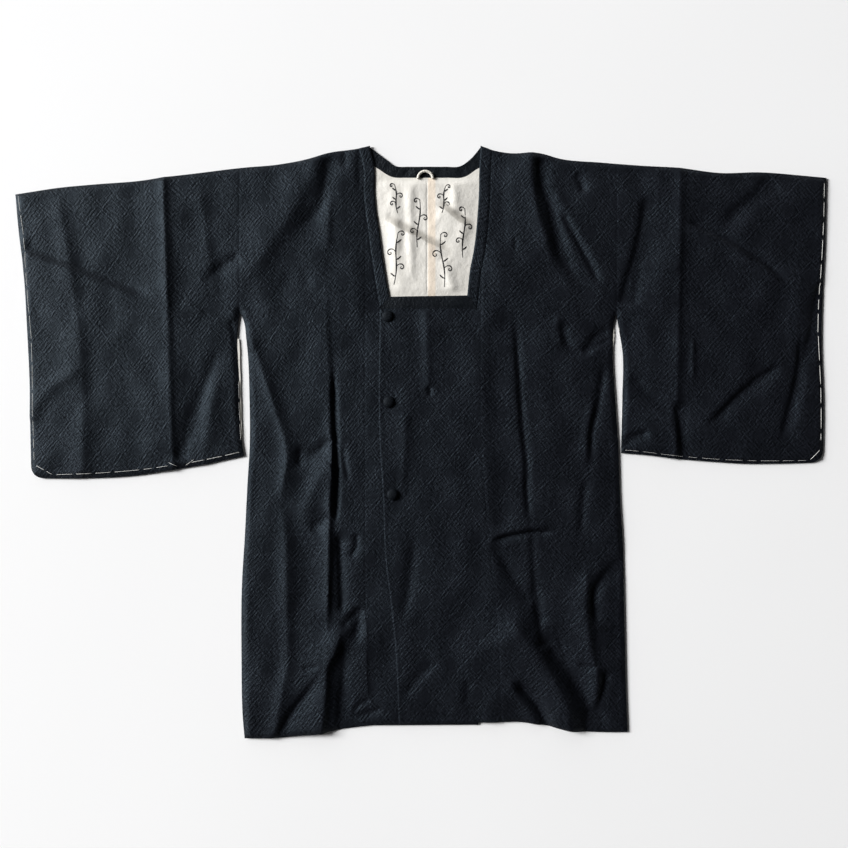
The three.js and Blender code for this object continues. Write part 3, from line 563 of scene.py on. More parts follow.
def back_height(x, y):
    """Height of the back's resting side."""
    clear = smoothstep(distance_to(EDGES, x, y, 30), 4, 30)
    in_neck = (x > BACK_SMOOTH["left"]) & (x < BACK_SMOOTH["right"]) & (y > BACK_SMOOTH["low"])
    return np.where(in_neck, 0, clear * creased(BACK_CREASES, x, y))


# ---- Cloth walls ----

def over_grid(function, grid):
    """A function of X and Y at each point of a grid."""
    return function(grid[..., 0].ravel(), grid[..., 1].ravel()).reshape(grid.shape[:2])


class Cloth:
    """A closed wall of cloth, built from grids of points with an outer and an inner place."""

    def __init__(self, wall):
        self.wall = wall
        self.outer = []
        self.inner = []
        self.cloth_places = []
        self.quads = []
        self.kinds = []
        self.count = 0

    def points(self, outer, inner, places):
        numbers = self.count + np.arange(outer.shape[0] * outer.shape[1])
        self.count += len(numbers)
        self.outer.append(outer.reshape(-1, 3))
        self.inner.append(inner.reshape(-1, 3))
        self.cloth_places.append(places.reshape(-1, 2))
        return numbers.reshape(outer.shape[:2])

    def front(self, grid, height, places, walls=None):
        """Rows that face up, at the height of their underside."""
        z = over_grid(height, grid)
        wall = self.wall if walls is None else walls
        return self.points(np.dstack([grid, z + wall]), np.dstack([grid, z]), places)

    def fold(self, row, height, places):
        """The rows of a fold beyond its last flat row, from the front to the back."""
        x, y = row.T
        z = height(x, y)
        t = np.linspace(0, 1, FOLD_STEPS + 1)[1:-1, None]
        reach = np.sin(math.pi * t)
        rise = np.cos(math.pi * t)
        middle = (z + self.wall) / 2
        inner_rise = (z - self.wall) / 2
        wide = np.broadcast_to(x, (FOLD_STEPS - 1, len(x)))
        outer = np.dstack([wide, y + FOLD_RADIUS * reach,
                           middle + (inner_rise + self.wall) * rise])
        inner = np.dstack([wide, y + (FOLD_RADIUS - self.wall) * reach,
                           middle + inner_rise * rise])
        around = np.dstack([np.broadcast_to(places[:, 0], wide.shape),
                            places[:, 1] + FOLD_TURN * t])
        return self.points(outer, inner, around)

    def back(self, grid, height, places):
        """Rows that face the surface the coat lies on."""
        z = over_grid(height, grid)
        return self.points(np.dstack([grid, z]), np.dstack([grid, z + self.wall]), places)

    def join(self, numbers, kind=0):
        """Faces over a grid of point numbers, of the kind-th material."""
        quads = np.stack([numbers[:-1, :-1], numbers[:-1, 1:], numbers[1:, 1:],
                          numbers[1:, :-1]], -1).reshape(-1, 4)
        self.quads.append(quads)
        self.kinds.append(np.full(len(quads), kind))

    def make(self, name, materials):
        """One object: both faces of the wall, closed along every free edge."""
        quads = np.concatenate(self.quads)
        kinds = np.concatenate(self.kinds)
        starts = quads.ravel()
        ends = np.roll(quads, -1, axis=1).ravel()
        free = ~np.isin(starts * self.count + ends, ends * self.count + starts)
        starts = starts[free]
        ends = ends[free]
        walls = np.stack([starts, starts + self.count, ends + self.count, ends], 1)
        faces = np.concatenate([quads, quads[:, ::-1] + self.count, walls])
        slots = np.concatenate([kinds, kinds, np.repeat(kinds, 4)[free]])
        points = np.concatenate([*self.outer, *self.inner])
        places = np.concatenate([*self.cloth_places] * 2)
        made = mesh_object(name + "_cloth", points, faces.tolist(), materials, places)
        made.data.polygons.foreach_set("material_index", slots.astype(np.int32))
        made.data.set_sharp_from_angle(angle=math.radians(SHARP_ANGLE))
        return made


def add_object(name, data):
    """An object of the scene that holds a mesh, a light or a camera."""
    made = bpy.data.objects.new(name, data)
    bpy.context.scene.collection.objects.link(made)
    return made


def mesh_object(name, points, faces, materials, places=None):
    """A smooth object from points in millimetres, faces and places on the flat cloth."""
    mesh = bpy.data.meshes.new(name)
    mesh.from_pydata((np.asarray(points) * METRES).tolist(), [], faces)
    for material in materials:
        mesh.materials.append(material)
    if places is not None:
        uv_map = mesh.uv_layers.new(name="cloth")
        corners = np.empty(len(mesh.loops), np.int32)
        mesh.loops.foreach_get("vertex_index", corners)
        uv_map.data.foreach_set("uv", np.asarray(places, np.float32)[corners].ravel())
    mesh.shade_smooth()
    return add_object(name, mesh)


def grid_of(across, up):
    """A grid of places from those of its columns and its rows."""
    return np.stack(np.meshgrid(across, up), -1)


def layer(name, wall, material, grid, height, places, walls=None):
    """A piece of cloth that lies in one layer with its face up."""
    cloth = Cloth(wall)
    cloth.join(cloth.front(grid, height, places, walls))
    return cloth.make(name, [material])


def edge_wall(grid, turned_edge=None):
    """The crepe's thickness, thinner along the coat's free edges and raised at a turned one."""
    def wall(x, y):
        thickness = CLOTH_WALL - EDGE_DROP * bell(distance_to(EDGES, x, y, 6), EDGE_ROUND)
        if turned_edge is None:
            return thickness
        lap = distance_to([turned_edge], x, y, 12)
        thickness = thickness - EDGE_DROP * bell(lap, EDGE_ROUND)
        return thickness + LAP_RIM * bell(lap - LAP_RIM_PLACE, LAP_RIM_WIDTH)

    return over_grid(wall, grid)


# ---- Materials ----

class Signal:
    """A number that varies over a surface, with arithmetic that adds math nodes."""

    def __init__(self, graph, socket):
        self.graph = graph
        self.socket = socket

    def do(self, operation, *others):
        node = self.graph.tree.nodes.new("ShaderNodeMath")
        node.operation = operation
        for socket, value in zip(node.inputs, (self, *others)):
            self.graph.put(socket, value)
        return Signal(self.graph, node.outputs[0])

    def __add__(self, other):
        return self.do("ADD", other)

    def __sub__(self, other):
        return self.do("SUBTRACT", other)

    def __mul__(self, other):
        return self.do("MULTIPLY", other)

    def ramp(self, low, high, start=0.0, end=1.0):
        """Moves smoothly from start at low to end at high."""
        node = self.graph.node("ShaderNodeMapRange", {
            "Value": self, "From Min": low, "From Max": high, "To Min": start, "To Max": end,
        }, interpolation_type="SMOOTHSTEP")
        return Signal(self.graph, node.outputs["Result"])

    def line(self, centre, width):
        """One at the centre, and nothing beyond the width on both sides."""
        return (self - centre).do("ABSOLUTE").ramp(0, width, 1, 0)


class Graph:
    """A material with one Principled shader, and helpers that add nodes to it."""

    def __init__(self, name, **settings):
        self.material = bpy.data.materials.new(name)
        self.material.use_nodes = True
        self.tree = self.material.node_tree
        self.shader = self.tree.nodes["Principled BSDF"]
        for key, value in settings.items():
            self.shader.inputs[key.replace("_", " ")].default_value = value

    def put(self, socket, value):
        if isinstance(value, Signal):
            value = value.socket
        if isinstance(value, bpy.types.NodeSocket):
            self.tree.links.new(value, socket)
        else:
            socket.default_value = value

    def node(self, kind, inputs, **settings):
        made = self.tree.nodes.new(kind)
        for key, value in settings.items():
            setattr(made, key, value)
        for key, value in inputs.items():
            self.put(made.inputs[key], value)
        return made

    def cloth(self, across=1.0, up=1.0, turn=0.0):
        """The place on the flat cloth, turned and then multiplied along both ways."""
        place = self.node("ShaderNodeUVMap", {}, uv_map="cloth")
        moved = self.node("ShaderNodeMapping", {
            "Vector": place.outputs["UV"],
            "Rotation": (0, 0, math.radians(turn)),
            "Scale": (1 / across, 1 / up, 1),
        }, vector_type="TEXTURE")
        return moved.outputs["Vector"]

    def body_place(self, scale):
        """The place in the part's frame, in metres and then multiplied."""
        place = self.node("ShaderNodeTexCoord", {})
        moved = self.node("ShaderNodeMapping", {
            "Vector": place.outputs["Object"], "Scale": (scale, scale, scale),
        })
        return moved.outputs["Vector"]

    def axes(self, vector):
        parts = self.node("ShaderNodeSeparateXYZ", {"Vector": vector})
        return Signal(self, parts.outputs["X"]), Signal(self, parts.outputs["Y"])

    def noise(self, vector, detail=2.0, roughness=0.5, distortion=0.0):
        made = self.node("ShaderNodeTexNoise", {
            "Vector": vector, "Scale": 1.0, "Detail": detail, "Roughness": roughness,
            "Distortion": distortion,
        })
        return Signal(self, made.outputs[0])

    def grain(self, across, up, turn=0.0, *settings):
        """Noise about zero on the flat cloth."""
        return self.noise(self.cloth(across, up, turn), *settings) - 0.5

    def mix(self, share, low, high):
        """A colour between two, each of which is red, green and blue or a socket."""
        made = self.node("ShaderNodeMix", {}, data_type="RGBA")
        self.put(made.inputs[0], share)
        for socket, colour in ((made.inputs[6], low), (made.inputs[7], high)):
            self.put(socket, (*colour, 1) if isinstance(colour, tuple) else colour)
        return made.outputs[2]

    def colour(self, *between):
        """Gives the shader the colour that mix makes of a share and two colours."""
        self.put(self.shader.inputs["Base Color"], self.mix(*between))

    def roughness(self, value):
        self.put(self.shader.inputs["Roughness"], value)

    def relief(self, height):
        """Bumps of a height in millimetres."""
        bump = self.node("ShaderNodeBump", {"Height": height, "Distance": METRES})
        self.put(self.shader.inputs["Normal"], bump.outputs["Normal"])


FIGURE_WIDTH = 43.0  # of a lozenge of lines; ribbed ones fill the gaps between them
FIGURE_HEIGHT = 51.4
FIGURE_MIDDLE = (21.5, 9.4)
NESTED_LINES = 3.0
RIB = 8.2  # from one rib to the next
RIB_SLOPE = 1.1
BRAID = 2.4


def woven_figure(graph):
    """The woven figure: lozenges of lines about a smooth middle, and ribbed ones between.

    ring is 0 in the middle of a lozenge of lines, 1 on its rim and 2 in a ribbed one's middle.
    Returns the relief, and a share that is 0 in the smooth middles and 1 elsewhere."""
    wander = graph.grain(0.03, 0.03, 0.0, 1.0)
    shake = graph.grain(0.13, 0.16, 0.0, 1.0)
    across, up = graph.axes(graph.cloth())
    across = across + (wander * 6.0) + (shake * 2.3)
    up = up + (wander * 5.0) - (shake * 1.8)
    out = (across - FIGURE_MIDDLE[0]).do("PINGPONG", FIGURE_WIDTH / 2)
    rise = (up - FIGURE_MIDDLE[1]).do("PINGPONG", FIGURE_HEIGHT / 2)
    ring = (out * (2 / FIGURE_WIDTH)) + (rise * (2 / FIGURE_HEIGHT))
    patterned = ring.ramp(0.44, 0.56)
    ribbed = ring.ramp(0.96, 1.04)
    framed = patterned * ((ribbed * -1.0) + 1.0)
    nested = (ring * (2 * math.pi * NESTED_LINES)).do("COSINE") * framed
    column = (across + FIGURE_MIDDLE[0]).do("PINGPONG", FIGURE_WIDTH)
    slant = up + (column * RIB_SLOPE)
    ribs = (slant * (2 * math.pi / RIB)).do("COSINE") * ribbed
    rims = ring.line(1.0, 0.12)
    grooves = ring.line(0.86, 0.09) + ring.line(1.14, 0.09)
    fade = graph.noise(graph.cloth(0.07, 0.07, 15)).ramp(0.38, 0.62, 0.15, 1.25)
    lines = (nested * 0.6) + (ribs * 0.65)
    return lines + (((rims * 0.9) - (grooves * 0.55)) * fade), patterned


def crepe_relief(graph):
    """The crinkles of the crepe: short streaks that slant both ways, over an even grain."""
    grain = graph.grain(0.4, 0.45, 20, 2.0, 0.6, 0.2)
    rising = graph.grain(0.13, 0.42, 44, 2.0, 0.5, 0.35)
    falling = graph.grain(0.13, 0.42, -44, 2.0, 0.5, 0.35)
    return (grain * 0.9) + (falling * 1.5) + (rising * 1.4)


# A faint cool sheen, which all the dark cloths have.
COOL_SHEEN = {"Sheen_Roughness": 0.4, "Sheen_Tint": (0.75, 0.85, 1.0, 1.0)}


def crepe_material():
    graph = Graph("crepe", Roughness=0.53, Sheen_Weight=0.005,
                  Specular_Tint=(0.59, 0.825, 1.0, 1.0), **COOL_SHEEN)
    figure, patterned = woven_figure(graph)
    crinkle = crepe_relief(graph) * ((patterned * 0.45) + 0.55)
    cloud = graph.grain(0.02, 0.02)
    # The base colour is darker where the figure's grooves and the crinkles lie low: partly the
    # yarn's own colour, partly painted shade in those hollows.
    tone = (figure * 0.22) + crinkle + (cloud * 0.6) + 0.35
    graph.colour(tone.ramp(-0.4, 1.4), (0.0017, 0.0017, 0.0025), (0.0100, 0.0102, 0.0145))
    graph.put(graph.shader.inputs["Specular IOR Level"], tone.ramp(-0.5, 1.5, 0.10, 0.335))
    graph.relief((figure * 0.135) + (crinkle * 0.65))
    return graph.material


def satin_material():
    graph = Graph("collar_satin", Roughness=0.45, Specular_IOR_Level=0.20, Sheen_Weight=0.005,
                  Specular_Tint=(0.8, 0.9, 1.0, 1.0), **COOL_SHEEN)
    yarn = graph.grain(0.3, 0.2, 30, 3.0, 0.6)
    cloud = graph.grain(0.05, 0.05)
    tone = yarn * 0.9 + cloud * 0.8 + 0.5
    graph.colour(tone.ramp(0, 1), (0.0015, 0.0022, 0.0034), (0.0065, 0.008, 0.0105))
    graph.relief((yarn * 1.3) + (cloud * 0.5))
    return graph.material


# Slanting creases of the lining, whose shade is painted into the silk as grey bands: a point on
# each, its slant and its half length.
PAINTED_CREASE_SHADE = [(-6, 337, -26.7, 78), (56, 368, -33, 46)]


def silk_material():
    graph = Graph("lining_silk", Roughness=0.5, Specular_IOR_Level=0.35, Sheen_Weight=0.1,
                  Sheen_Roughness=0.4)
    across, up = graph.axes(graph.cloth())
    crinkle = graph.grain(0.11, 0.09, 0.0, 3.0, 0.6)
    drift = graph.grain(0.04, 0.04)
    weave = graph.grain(1.4, 1.1, 0.0, 1.0)
    warm = across.ramp(10.5, 12.0) * across.ramp(21.5, 25.5, 1, 0)
    base = graph.mix((crinkle + 0.5).ramp(0, 1), (0.70, 0.675, 0.615), (0.80, 0.775, 0.725))
    base = graph.mix(warm * 0.5, base, (0.83, 0.66, 0.49))
    # Painted shade: the silk's colour turns grey in a band along each slanting crease, where the
    # fold's shade falls.
    for x, y, slant, reach in PAINTED_CREASE_SHADE:
        turn = math.radians(slant)
        away = ((up - y) * math.cos(turn)) - ((across - x) * math.sin(turn)) + (drift * 9.0)
        along = ((across - x) * math.cos(turn)) + ((up - y) * math.sin(turn))
        ends = along.do("ABSOLUTE").ramp(0.4 * reach, reach, 1, 0)
        shade = (away.ramp(-6, -1) * away.ramp(1, 16, 1, 0) * ends) + (drift * 0.3)
        base = graph.mix(shade.ramp(0.05, 1.0, 0, 0.66), base, (0.36, 0.335, 0.29))
    graph.put(graph.shader.inputs["Base Color"], base)
    graph.relief((crinkle * 0.9) + (weave * 0.1))
    return graph.material


def ink_material():
    graph = Graph("lining_ink", Specular_IOR_Level=0.25)
    spread = graph.noise(graph.cloth(0.6, 0.6))
    graph.colour(spread.ramp(0.3, 0.75), (0.006, 0.006, 0.007), (0.025, 0.024, 0.026))
    graph.roughness(spread.ramp(0.2, 0.8, 0.55, 0.75))
    return graph.material


def tape_material():
    graph = Graph("loop_tape", Specular_IOR_Level=0.3, Sheen_Weight=0.15)
    across, up = graph.axes(graph.cloth())
    left, right = ((way * (2 * math.pi / BRAID)).do("SINE") for way in (across + up, across - up))
    braid = left.do("MAXIMUM", right)
    fuzz = graph.grain(1.2, 1.2)
    tone = braid * 0.4 + fuzz + 0.5
    graph.colour(tone.ramp(0, 1), (0.55, 0.51, 0.44), (0.80, 0.77, 0.70))
    graph.roughness(fuzz.ramp(-0.3, 0.3, 0.6, 0.8))
    graph.relief((braid * 0.25) + (fuzz * 0.2))
    return graph.material


def thread_material():
    graph = Graph("basting_thread", Specular_IOR_Level=0.3, Sheen_Weight=0.2)
    fibre = graph.noise(graph.body_place(1400.0))
    graph.colour(fibre.ramp(0.3, 0.7), (0.62, 0.61, 0.58), (0.86, 0.85, 0.82))
    graph.roughness(fibre.ramp(0.2, 0.8, 0.6, 0.8))
    graph.relief(fibre * 0.15)
    return graph.material


def button_material():
    graph = Graph("button_crepe", Roughness=0.5, Specular_IOR_Level=0.10,
                  Specular_Tint=(0.74, 0.88, 1.0, 1.0), Sheen_Weight=0.01,
                  Sheen_Roughness=0.45, Sheen_Tint=(0.75, 0.85, 1.0, 1.0))
    grain = graph.noise(graph.body_place(620.0), 3.0, 0.6, 0.5) - 0.5
    graph.colour((grain + 0.5).ramp(0.1, 0.9), (0.0015, 0.002, 0.003), (0.006, 0.0075, 0.010))
    graph.relief(grain * 0.9)
    return graph.material


def floor_material():
    graph = Graph("pale_floor", Specular_IOR_Level=0.1)
    cloud = graph.noise(graph.body_place(1.5))
    graph.colour(cloud.ramp(0.2, 0.8), (0.885, 0.885, 0.885), (0.905, 0.905, 0.905))
    graph.roughness(cloud.ramp(0, 1, 0.8, 0.9))
    return graph.material


CREPE = crepe_material()
SATIN = satin_material()
SILK = silk_material()
INK = ink_material()
TAPE = tape_material()
THREAD = thread_material()
BUTTON_CREPE = button_material()


# ---- Body panels ----

FRONT_STEP = 2.9
FRONT_ROW = 3.0
SLEEVE_ROW = 3.1
BACK_ROW = 9.0
NECK_COLUMNS = 43


def mean_length(*lines):
    return sum(lengths(np.asarray(line, float))[-1] for line in lines) / len(lines)


def back_neckline(side):
    """The back's neckline of one side, from the shoulder to the centre back."""
    points = [p for p in BACK_NECK["lower"] if (p[0] - CENTRE_BACK) * SIGN[side] > 0]
    return points[::-SIGN[side]] + [(CENTRE_BACK, CENTRE_BACK_NECK)]


def centre_line(low, shares):
    """Places up the centre back, from a low one to the neck."""
    y = low + (CENTRE_BACK_NECK - low) * shares
    return np.stack([np.full(len(shares), CENTRE_BACK), y], 1)


def body_panel(side):
    name = f"body_{side}"
    height = over_height if side == "left" else under_height
    step = -SIGN[side]  # [::step] turns columns that run toward +X so that the outer is first
    inside = chain(smooth_line(LAP_SEAM[side]), smooth_line(collar_seam(side)[LAP_MEETS[side]:]))
    outside = chain(smooth_line(SIDE[side]), ARMHOLE[side])
    left, right = [outside, inside][::step]
    hem = smooth_line(HEM[side])
    length = mean_length(inside, outside)
    width = lengths(hem)[-1]
    up = graded(length, FRONT_ROW)
    across = graded(width, FRONT_STEP)
    fold = fold_line(left[-1][0], right[-1][0], across)
    front = fill_grid(at(left, up), at(right, up), at(hem, across), fold, up, across)
    places = grid_of(hem[:, 0].min() + across * width, hem[:, 1].min() + up * length)
    places -= FIGURE_START[name]

    # The back goes on from the fold to the hem, and reaches in to the centre back.
    neckline = chain(fold[::step][-1:], smooth_line(back_neckline(side)))
    top = np.concatenate([fold[::step], at(neckline, np.linspace(0, 1, NECK_COLUMNS + 1)[1:])])
    down = graded(length, BACK_ROW)
    share = lengths(top) / lengths(top)[-1]
    back_hem = at(chain(hem[::step], [(CENTRE_BACK, CENTRE_BACK_HEM)]), share)
    centre = centre_line(CENTRE_BACK_HEM, down)
    back = fill_grid(at(outside, down), centre, back_hem, top, down, share)
    back[..., 1] += (BACK_HEM_RISE * (1 - smoothstep(down, 0, BACK_HEM_FADE)))[:, None]
    back = back[::-1, ::step]
    own = len(across)
    beyond = lengths(top)[own:] - lengths(top)[own - 1]
    u = places[0, ::step, 0]
    u = np.concatenate([u, u[-1] + step * beyond])[::step]
    v = places[-1, 0, 1] + FOLD_TURN + (1 - down[::-1]) * length

    cloth = Cloth(CLOTH_WALL)
    front_rows = cloth.front(front, height, places, edge_wall(front))
    fold_rows = cloth.fold(front[-1], height, places[-1])
    back_rows = cloth.back(back, back_height, grid_of(u, v))[:, ::step]
    cloth.join(np.concatenate([front_rows, fold_rows, back_rows[:, :own][:, ::step]]))
    cloth.join(back_rows[:, own - 1:][:, ::step])
    return cloth.make(name, [CREPE])


# ---- Front overlaps ----

def overlap(side, hem, height, top, bend, width, row, column):
    """A front overlap. bend is where its top turns, as shares of its width and of the top."""
    seam = smooth_line(LAP_SEAM[side])
    edge = smooth_line(LAP_EDGE[side])
    left, right = [seam, edge][::-SIGN[side]]
    up = graded(lengths(left)[-1], row)
    across = graded(width, column)
    along_top = np.interp(across, [0, bend[0], 1], [0, bend[1], 1])
    grid = fill_grid(at(left, up), at(right, up), at(hem, across), at(top, along_top), up, across)
    name = f"overlap_{side}"
    places = grid - FIGURE_START[name]
    return layer(name, CLOTH_WALL, CREPE, grid, height, places, edge_wall(grid, edge))


def overlap_right():
    collar = smooth_line(collar_seam("right")[:LAP_MEETS["right"] + 1])[::-1]
    top = chain(collar, [(-50, UNDER_TOP_EDGE), LAP_EDGE["right"][-1]])
    bend = (0.14, lengths(collar)[-1] / lengths(top)[-1])
    return overlap("right", HEM["under"], under_height, top, bend, 200, 3.8, 3.8)


def overlap_left():
    collar = smooth_line(collar_seam("left")[:LAP_MEETS["left"] + 1])
    top = chain([LAP_EDGE["left"][-1], (MITRE["left"][0], COLLAR_LOWER_EDGE)], collar)
    bend = (0.93, 1 - lengths(collar)[-1] / lengths(top)[-1])
    return overlap("left", HEM["over"], over_height, top, bend, 168, 2.9, 2.7)


# ---- Sleeves ----

def round_corner(grid, corner, out):
    """Turns the square corner at the sleeve's lower outer end into a quarter circle."""
    centre = np.array(corner, float) + (-out * SLEEVE_CORNER, SLEEVE_CORNER)
    beyond = out * (grid[..., 0] - centre[0]) / SLEEVE_CORNER
    below = (centre[1] - grid[..., 1]) / SLEEVE_CORNER
    inside = (beyond > 0) & (below > 0)
    x = centre[0] + out * SLEEVE_CORNER * beyond * np.sqrt(1 - np.clip(below, 0, 1) ** 2 / 2)
    y = centre[1] - SLEEVE_CORNER * below * np.sqrt(1 - np.clip(beyond, 0, 1) ** 2 / 2)
    return np.where(inside[..., None], np.stack([x, y], -1), grid)


def sleeve_panel(side):
    name = f"sleeve_{side}"
    shape = SLEEVE[side]
    step = -SIGN[side]
    outer = smooth_line(shape["outer"])
    outer[-1][1] = height_of_top(outer[-1][0]) - FOLD_RADIUS
    inner = chain(smooth_line(shape["inner"]), ARMHOLE[side])
    left, right = [outer, inner][::step]
    bottom = smooth_line(shape["lower"])[::step]
    length = mean_length(outer, inner)
    width = lengths(smooth_line(shape["lower"]))[-1]
    up = graded(length, SLEEVE_ROW)
    across = graded(width, FRONT_STEP)
    top = fold_line(left[-1][0], right[-1][0], across)
    square = fill_grid(at(left, up), at(right, up), at(bottom, across), top, up, across)
    front = round_corner(square, shape["outer"][0], SIGN[side])
    places = grid_of(left[0][0] + across * width, bottom[:, 1].mean() + up * length)
    places -= FIGURE_START[name]
    chosen = np.unique(np.concatenate([[0, 1, 2, 3], np.arange(4, len(up), 3),
                                       np.arange(len(up) - 4, len(up))]))
    v_back = places[-1, 0, 1] + FOLD_TURN + (1 - up[chosen][::-1]) * length
    cloth = Cloth(CLOTH_WALL)
    cloth.join(np.concatenate([
        cloth.front(front, under_height, places, edge_wall(front)),
        cloth.fold(front[-1], under_height, places[-1]),
        cloth.back(front[chosen][::-1], back_height, grid_of(places[0, :, 0], v_back)),
    ]))
    return cloth.make(name, [CREPE])


# ---- Collar ----

COLLAR_ROWS = 96
BAND_ROWS = 110  # of the band behind the neck
BAND_LENGTH = 250.0
BAND_FADE = 25.0


def strip_grid(seam, edge, rows, across):
    low, high = (at(line, np.linspace(0, 1, rows))[:, None] for line in (seam, edge))
    return low * (1 - across[None, :, None]) + high * across[None, :, None]


def strip_wall(shares, width, seam_drop, seam_round):
    """Thickness of the doubled strip, rounded along its folded edge and along its seam."""
    wall = COLLAR_WALL - STRIP_DROP * bell((1 - shares) * width, STRIP_ROUND)
    return wall - seam_drop * bell(shares * width, seam_round)


def collar_strip():
    cloth = Cloth(COLLAR_WALL)
    across = graded(COLLAR_WIDTH, 1.7)
    walls = strip_wall(across, COLLAR_WIDTH, 0.3, 1.5)

    def side_rows(side, height, first):
        seam = smooth_line(collar_seam(side))
        edge = smooth_line(NECK_EDGE[side])
        edge[-1][1] = height_of_top(edge[-1][0]) - FOLD_RADIUS
        grid = strip_grid(seam, edge, COLLAR_ROWS, across)
        along = np.linspace(0, mean_length(seam, edge), COLLAR_ROWS)
        places = grid_of(across * COLLAR_WIDTH + first, along)
        flat_rows = cloth.front(grid, height, places, walls)
        return grid, flat_rows, cloth.fold(grid[-1], height, places[-1])

    right, right_rows, right_fold = side_rows("right", under_height, 30)
    left, left_rows, left_fold = side_rows("left", over_height, 0)
    lower = smooth_line([right[-1][0], *BACK_NECK["lower"], left[-1][0]], 2.5)
    upper = smooth_line([right[-1][-1], *BACK_NECK["upper"], left[-1][-1]], 2.5)
    band = strip_grid(lower, upper, BAND_ROWS, across)
    run = np.linspace(0, BAND_LENGTH, BAND_ROWS)
    ripple = 0.35 * (np.sin(run / 9.0 + 1.2) + 0.8 * np.sin(run / 5.3) + 0.6 * np.sin(run / 3.1))
    calm = smoothstep(run, 0, BAND_FADE)
    calm = calm * (1 - smoothstep(run, BAND_LENGTH - BAND_FADE, BAND_LENGTH))
    lean = np.sin(math.pi * across)[None] * (ripple * calm)[:, None]
    outer = np.dstack([band, np.zeros(band.shape[:2])])
    inner = np.dstack([band, COLLAR_WALL + lean])
    band_rows = cloth.points(outer, inner, grid_of(across * COLLAR_WIDTH, run))
    cloth.join(np.concatenate([right_rows, right_fold, band_rows[:1]]))
    cloth.join(band_rows, kind=1)
    cloth.join(np.concatenate([band_rows[-1:], left_fold[::-1], left_rows[::-1]]))
    return cloth.make("collar_strip", [CREPE, SATIN])


def collar_front():
    across = graded(COLLAR_FRONT_LENGTH, 2.4)
    up = graded(COLLAR_FRONT_WIDTH, 1.7)
    bottom = [(MITRE[side][0], COLLAR_LOWER_EDGE + 0.2) for side in SIDES]
    top = [NECK_EDGE[side][0] for side in SIDES]
    left, right = (at(ends, up) for ends in zip(bottom, top))
    grid = fill_grid(left, right, at(bottom, across), at(top, across), up, across)
    places = grid_of(across * COLLAR_FRONT_LENGTH, up * COLLAR_FRONT_WIDTH)[..., ::-1]
    walls = strip_wall(up, COLLAR_FRONT_WIDTH, 0.4, 1.2)[:, None]
    return layer("collar_front", COLLAR_WALL, SATIN, grid, over_height, places, walls)


# ---- Lining ----

LINING_LOFT = 2.0
LINING_WAVES = 0.4  # height and closeness of its waves, as shares of the front's
LINING_WAVE_CLOSENESS = 2.2
LINING_SEAM_DIP = 0.5
LINING_SEAM_WIDTH = 1.4


def lining_height(x, y):
    """Height of the lining's underside, which stays low where the collar covers it."""
    left, right = (np.interp(y, *np.array(NECK_EDGE[side], float).T[::-1]) for side in SIDES)
    inside = np.minimum(x - left, right - x)
    open_here = smoothstep(inside, -2, 26) * smoothstep(y, 234, 252) * (1 - smoothstep(y, 418, 429))
    small_waves = LINING_WAVES * waves(LINING_WAVE_CLOSENESS * x, LINING_WAVE_CLOSENESS * y)
    folds = LINING_LOFT + creased(LINING_CREASES, x, y) + small_waves
    seam = LINING_SEAM_DIP * bell(x - CENTRE_BACK, LINING_SEAM_WIDTH)
    return OVER_BACK + open_here * np.maximum(folds - seam, 0.1)


def lining_panel(side):
    step = -SIGN[side]
    out = SIGN[side] * LINING_TUCK
    neckline = back_neckline(side)
    edge = [(NECK_EDGE[side][0][0] + out, LINING_LOWER_EDGE)]
    edge += [(x + out, y) for x, y in NECK_EDGE[side][1:-2]]
    edge += [(neckline[0][0] + out / 2, neckline[0][1] + LINING_TUCK / 4)]
    bottom = [edge[0], (CENTRE_BACK, LINING_LOWER_EDGE)][::step]
    top = chain([edge[-1]], smooth_line(neckline))[::step]
    up = graded(LINING_LENGTH, 2.3)
    across = graded(abs(edge[0][0] - CENTRE_BACK), 2.2)
    left, right = [at(smooth_line(edge), up), centre_line(LINING_LOWER_EDGE, up)][::step]
    grid = fill_grid(left, right, at(bottom, across), at(top, across), up, across)
    return layer(f"lining_{side}", LINING_WALL, SILK, grid, lining_height, grid)


def lining_edge(name, line):
    """The edge of a hidden lining, where it stands out beyond the crepe at positive X."""
    line = smooth_line(line, 2.0)
    share = np.linspace(0, 1, len(line))
    width = np.sin(math.pi * share) ** 0.4 * (0.85 + 0.15 * np.sin(share * 23))
    width *= LINING_EDGE_SHOWS
    across = np.linspace(0, 1, 9)
    sideways = (LINING_EDGE_TUCK + width[:, None]) * across[None] - LINING_EDGE_TUCK
    grid = line[:, None] + np.stack([sideways, np.zeros_like(sideways)], -1)

    def height(x, y):
        return np.full_like(x, LINING_EDGE_HEIGHT)

    return layer(name, LINING_EDGE_WALL, SILK, grid, height, grid)


# Printed tendrils: plain curls of the builder's own, each a stem with side curls.
SPRIGS = [
    # foot x, foot y, height, lean, mirror, size of the curls
    (-44, 256, 84, 7, 1, 11.5),
    (-38, 372, 46, -5, -1, 8.5),
    (-6, 316, 78, 4, -1, 10.5),
    (38, 252, 86, -6, 1, 12.0),
    (34, 372, 44, 6, 1, 8.5),
    (68, 300, 80, 3, -1, 10.0),
]
INK_STEP = 1.0
INK_WALL = 0.22
STEM_WIDTH = 2.1
CURL_WIDTH = 1.9
LEAF_WIDTH = 2.3
CURL_POINTS = 40
CURL_TURNS = 1.35


def curl(start, heading, size, hand):
    """A spiral stroke that leaves a point and winds inward."""
    t = np.linspace(0, 1, CURL_POINTS)
    radius = size * (1 - 0.82 * t)
    angle = np.cumsum(2 * math.pi * CURL_TURNS / CURL_POINTS * (0.6 + 0.9 * t)) * hand
    step = radius * 2 * math.pi * CURL_TURNS / CURL_POINTS
    x = start[0] + np.cumsum(step * np.cos(heading + angle))
    y = start[1] + np.cumsum(step * np.sin(heading + angle))
    return np.stack([x, y], 1)


